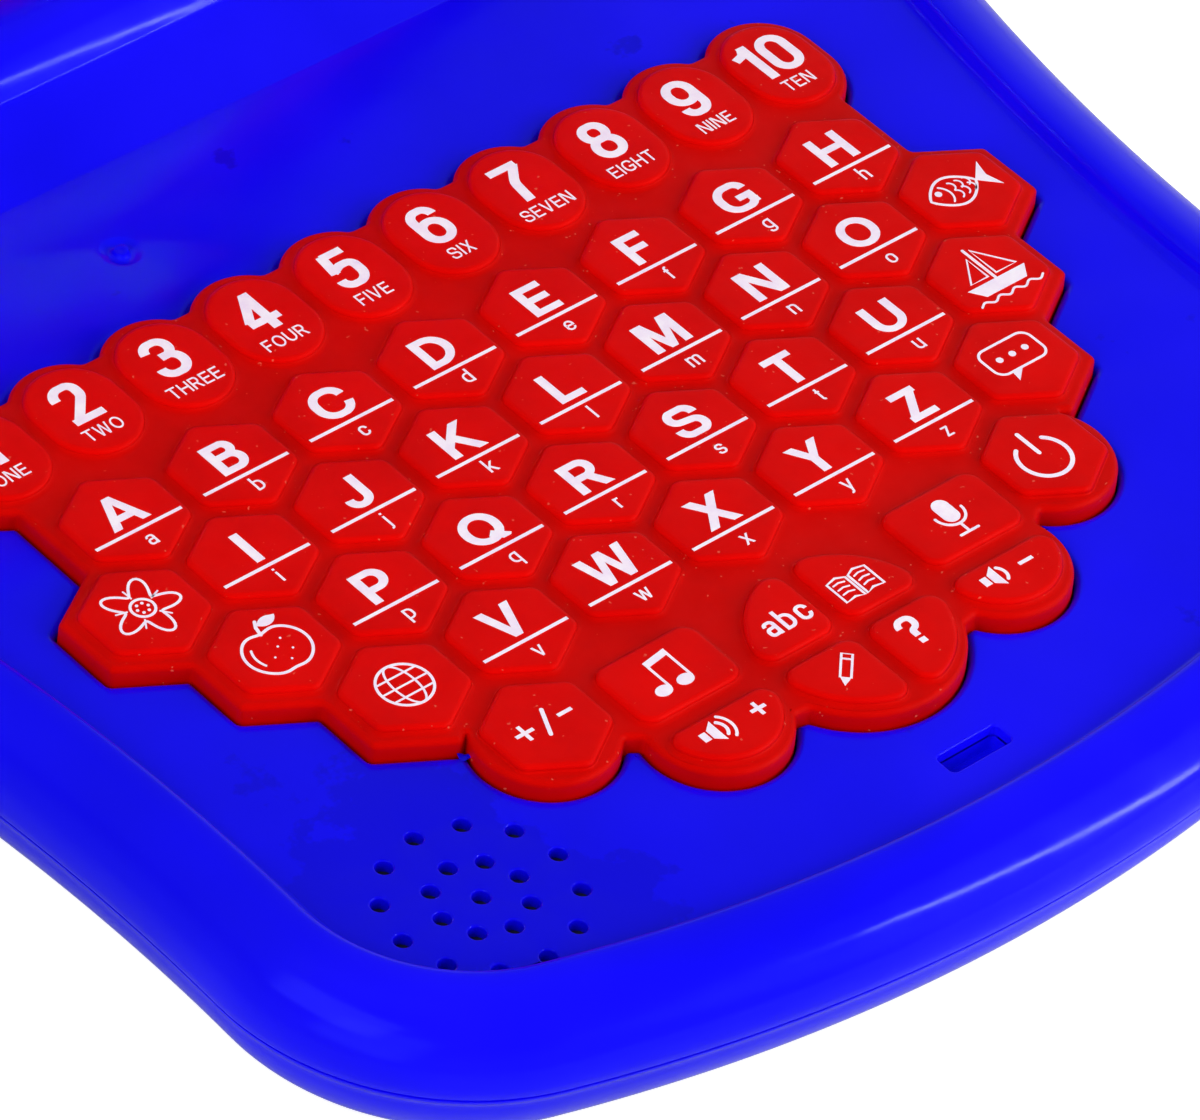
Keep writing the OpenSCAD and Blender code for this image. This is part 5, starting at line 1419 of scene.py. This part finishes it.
for name, material in {
        "key_board": board_green, "sound_chip": black_epoxy, "speaker": speaker_steel,
        "batteries": cell_wrap, "battery_contacts": zinc_steel, "battery_door": blue_abs,
        "battery_door_screw": zinc_steel, "case_screws": zinc_steel, "lid_screws": zinc_steel,
        "hinge_pins": zinc_steel, "rubber_feet": foot_rubber}.items():
    me = nodes[name].data
    me.materials.clear()
    me.materials.append(material)

# ------------------------------------------------------------ stage, light, camera

FILL = 0.3               # the world's strength for diffuse light
PAPER_GLOW = 0.78        # what the floor adds for camera rays, so that it reads as white
floor = bpy.data.meshes.new("floor")
floor.from_pydata([(-4, -4, 0), (4, -4, 0), (4, 4, 0), (-4, 4, 0)], [], [(0, 1, 2, 3)])
floor_o = bpy.data.objects.new("floor", floor)
bpy.context.scene.collection.objects.link(floor_o)
m = bpy.data.materials.new("white_paper_sweep")
m.use_nodes = True
tree = m.node_tree
shader = tree.nodes["Principled BSDF"]
shader.inputs["Base Color"].default_value = (0.6, 0.6, 0.6, 1)
shader.inputs["Roughness"].default_value = 0.9
path = node(tree, "ShaderNodeLightPath")
seen = node(tree, "ShaderNodeMath", {"operation": "MAXIMUM"},
            links={0: path.outputs["Is Camera Ray"], 1: path.outputs["Is Transmission Ray"]})
glow = node(tree, "ShaderNodeEmission", sockets={"Color": (1, 1, 1, 1)},
            links={"Strength": node(tree, "ShaderNodeMath", {"operation": "MULTIPLY"}, {1: PAPER_GLOW},
                                    {0: seen.outputs[0]}).outputs[0]})
both = node(tree, "ShaderNodeAddShader", links={0: shader.outputs[0], 1: glow.outputs[0]})
tree.links.new(both.outputs[0], tree.nodes["Material Output"].inputs["Surface"])
floor.materials.append(m)

world = bpy.data.worlds.new("studio")
world.use_nodes = True
bpy.context.scene.world = world
tree = world.node_tree
# a white backdrop, which glossy rays see faintly and only near the horizon, and a soft fill
# for diffuse light
path = node(tree, "ShaderNodeLightPath")
seen = node(tree, "ShaderNodeMath", {"operation": "MAXIMUM"},
            links={0: path.outputs["Is Camera Ray"], 1: path.outputs["Is Transmission Ray"]}).outputs[0]
rise = node(tree, "ShaderNodeSeparateXYZ", links={
    "Vector": node(tree, "ShaderNodeTexCoord").outputs["Generated"]}).outputs["Z"]
low = node(tree, "ShaderNodeMath", {"operation": "MULTIPLY"},
           links={0: path.outputs["Is Glossy Ray"], 1: ramp(tree, rise, [(0.3, 0.3), (0.55, 0.0)])})
backdrop = node(tree, "ShaderNodeMath", {"operation": "MAXIMUM"},
                links={0: seen, 1: low.outputs[0]}).outputs[0]
strength = node(tree, "ShaderNodeMapRange", sockets={"To Min": FILL, "To Max": 1.0},
                links={"Value": backdrop}).outputs[0]
tree.nodes["Background"].inputs["Color"].default_value = (1, 1, 1, 1)
tree.links.new(strength, tree.nodes["Background"].inputs["Strength"])

# the point on the keys that the camera and every lamp face
AIM = Vector((-18.7 * MM, (-32.9 + SHIFT_Y) * MM, KEY * MM))


def softbox(name, toward, distance, width, height, power, mirrored=True):
    """An area lamp in a direction from AIM, facing it: sizes in metres, power in watts, the
    height as near to Y as that allows. One that isn't mirrored lights but shows in nothing."""
    z = Vector(toward).normalized()
    lamp = bpy.data.lights.new(name, "AREA")
    lamp.shape, lamp.size, lamp.size_y, lamp.energy = "RECTANGLE", width, height, power
    o = bpy.data.objects.new(name, lamp)
    bpy.context.scene.collection.objects.link(o)
    o.visible_glossy = mirrored
    y = Vector((0, 1, 0)) - z * z.y
    y.normalize()
    x = y.cross(z)
    o.matrix_world = Matrix.Translation(AIM + z * distance) @ Matrix((x, y, z)).transposed().to_4x4()
    return o


# the front box is two lamps in one place, so that its reflection is fainter than its light
FRONT = (0.534, -0.724, 0.436)
softbox("front_softbox", FRONT, 0.9, 0.66, 0.78, 4.9, False)
softbox("front_window", FRONT, 0.9, 0.66, 0.78, 2.6)
softbox("tube", (0.534, -0.7525, 0.385), 0.88, 0.5, 0.03, 1.6)
softbox("side_window", (-0.7, 0.0, 0.71), 1.5, 0.7, 0.95, 2.2)
softbox("top_softbox", (-0.35, 0.3, 0.9), 1.6, 1.2, 1.2, 2.5, False)
softbox("left_softbox", (-0.9, -0.35, 0.5), 1.5, 1.0, 0.8, 12.0, False)

# heading from +Y towards +X, height above the horizon, and turn about the line of sight
AZ, EL, ROLL = math.radians(46.33), math.radians(42.41), math.radians(7.16)
DISTANCE = 1.1113
forward = Vector((math.sin(AZ) * math.cos(EL), math.cos(AZ) * math.cos(EL), -math.sin(EL)))
right = forward.cross(Vector((0, 0, 1))).normalized()
up = right.cross(forward)
right, up = (right * math.cos(ROLL) + up * math.sin(ROLL), up * math.cos(ROLL) - right * math.sin(ROLL))
camera = bpy.data.cameras.new("camera")
camera.sensor_fit, camera.sensor_width, camera.lens = "HORIZONTAL", 36, 250.62
camera.clip_start, camera.clip_end = 0.05, 20
camera_o = bpy.data.objects.new("camera", camera)
camera_o.matrix_world = (Matrix.Translation(AIM - forward * DISTANCE)
                         @ Matrix((right, up, -forward)).transposed().to_4x4())
bpy.context.scene.collection.objects.link(camera_o)
bpy.context.scene.camera = camera_o
bpy.context.scene.view_settings.view_transform = "Standard"
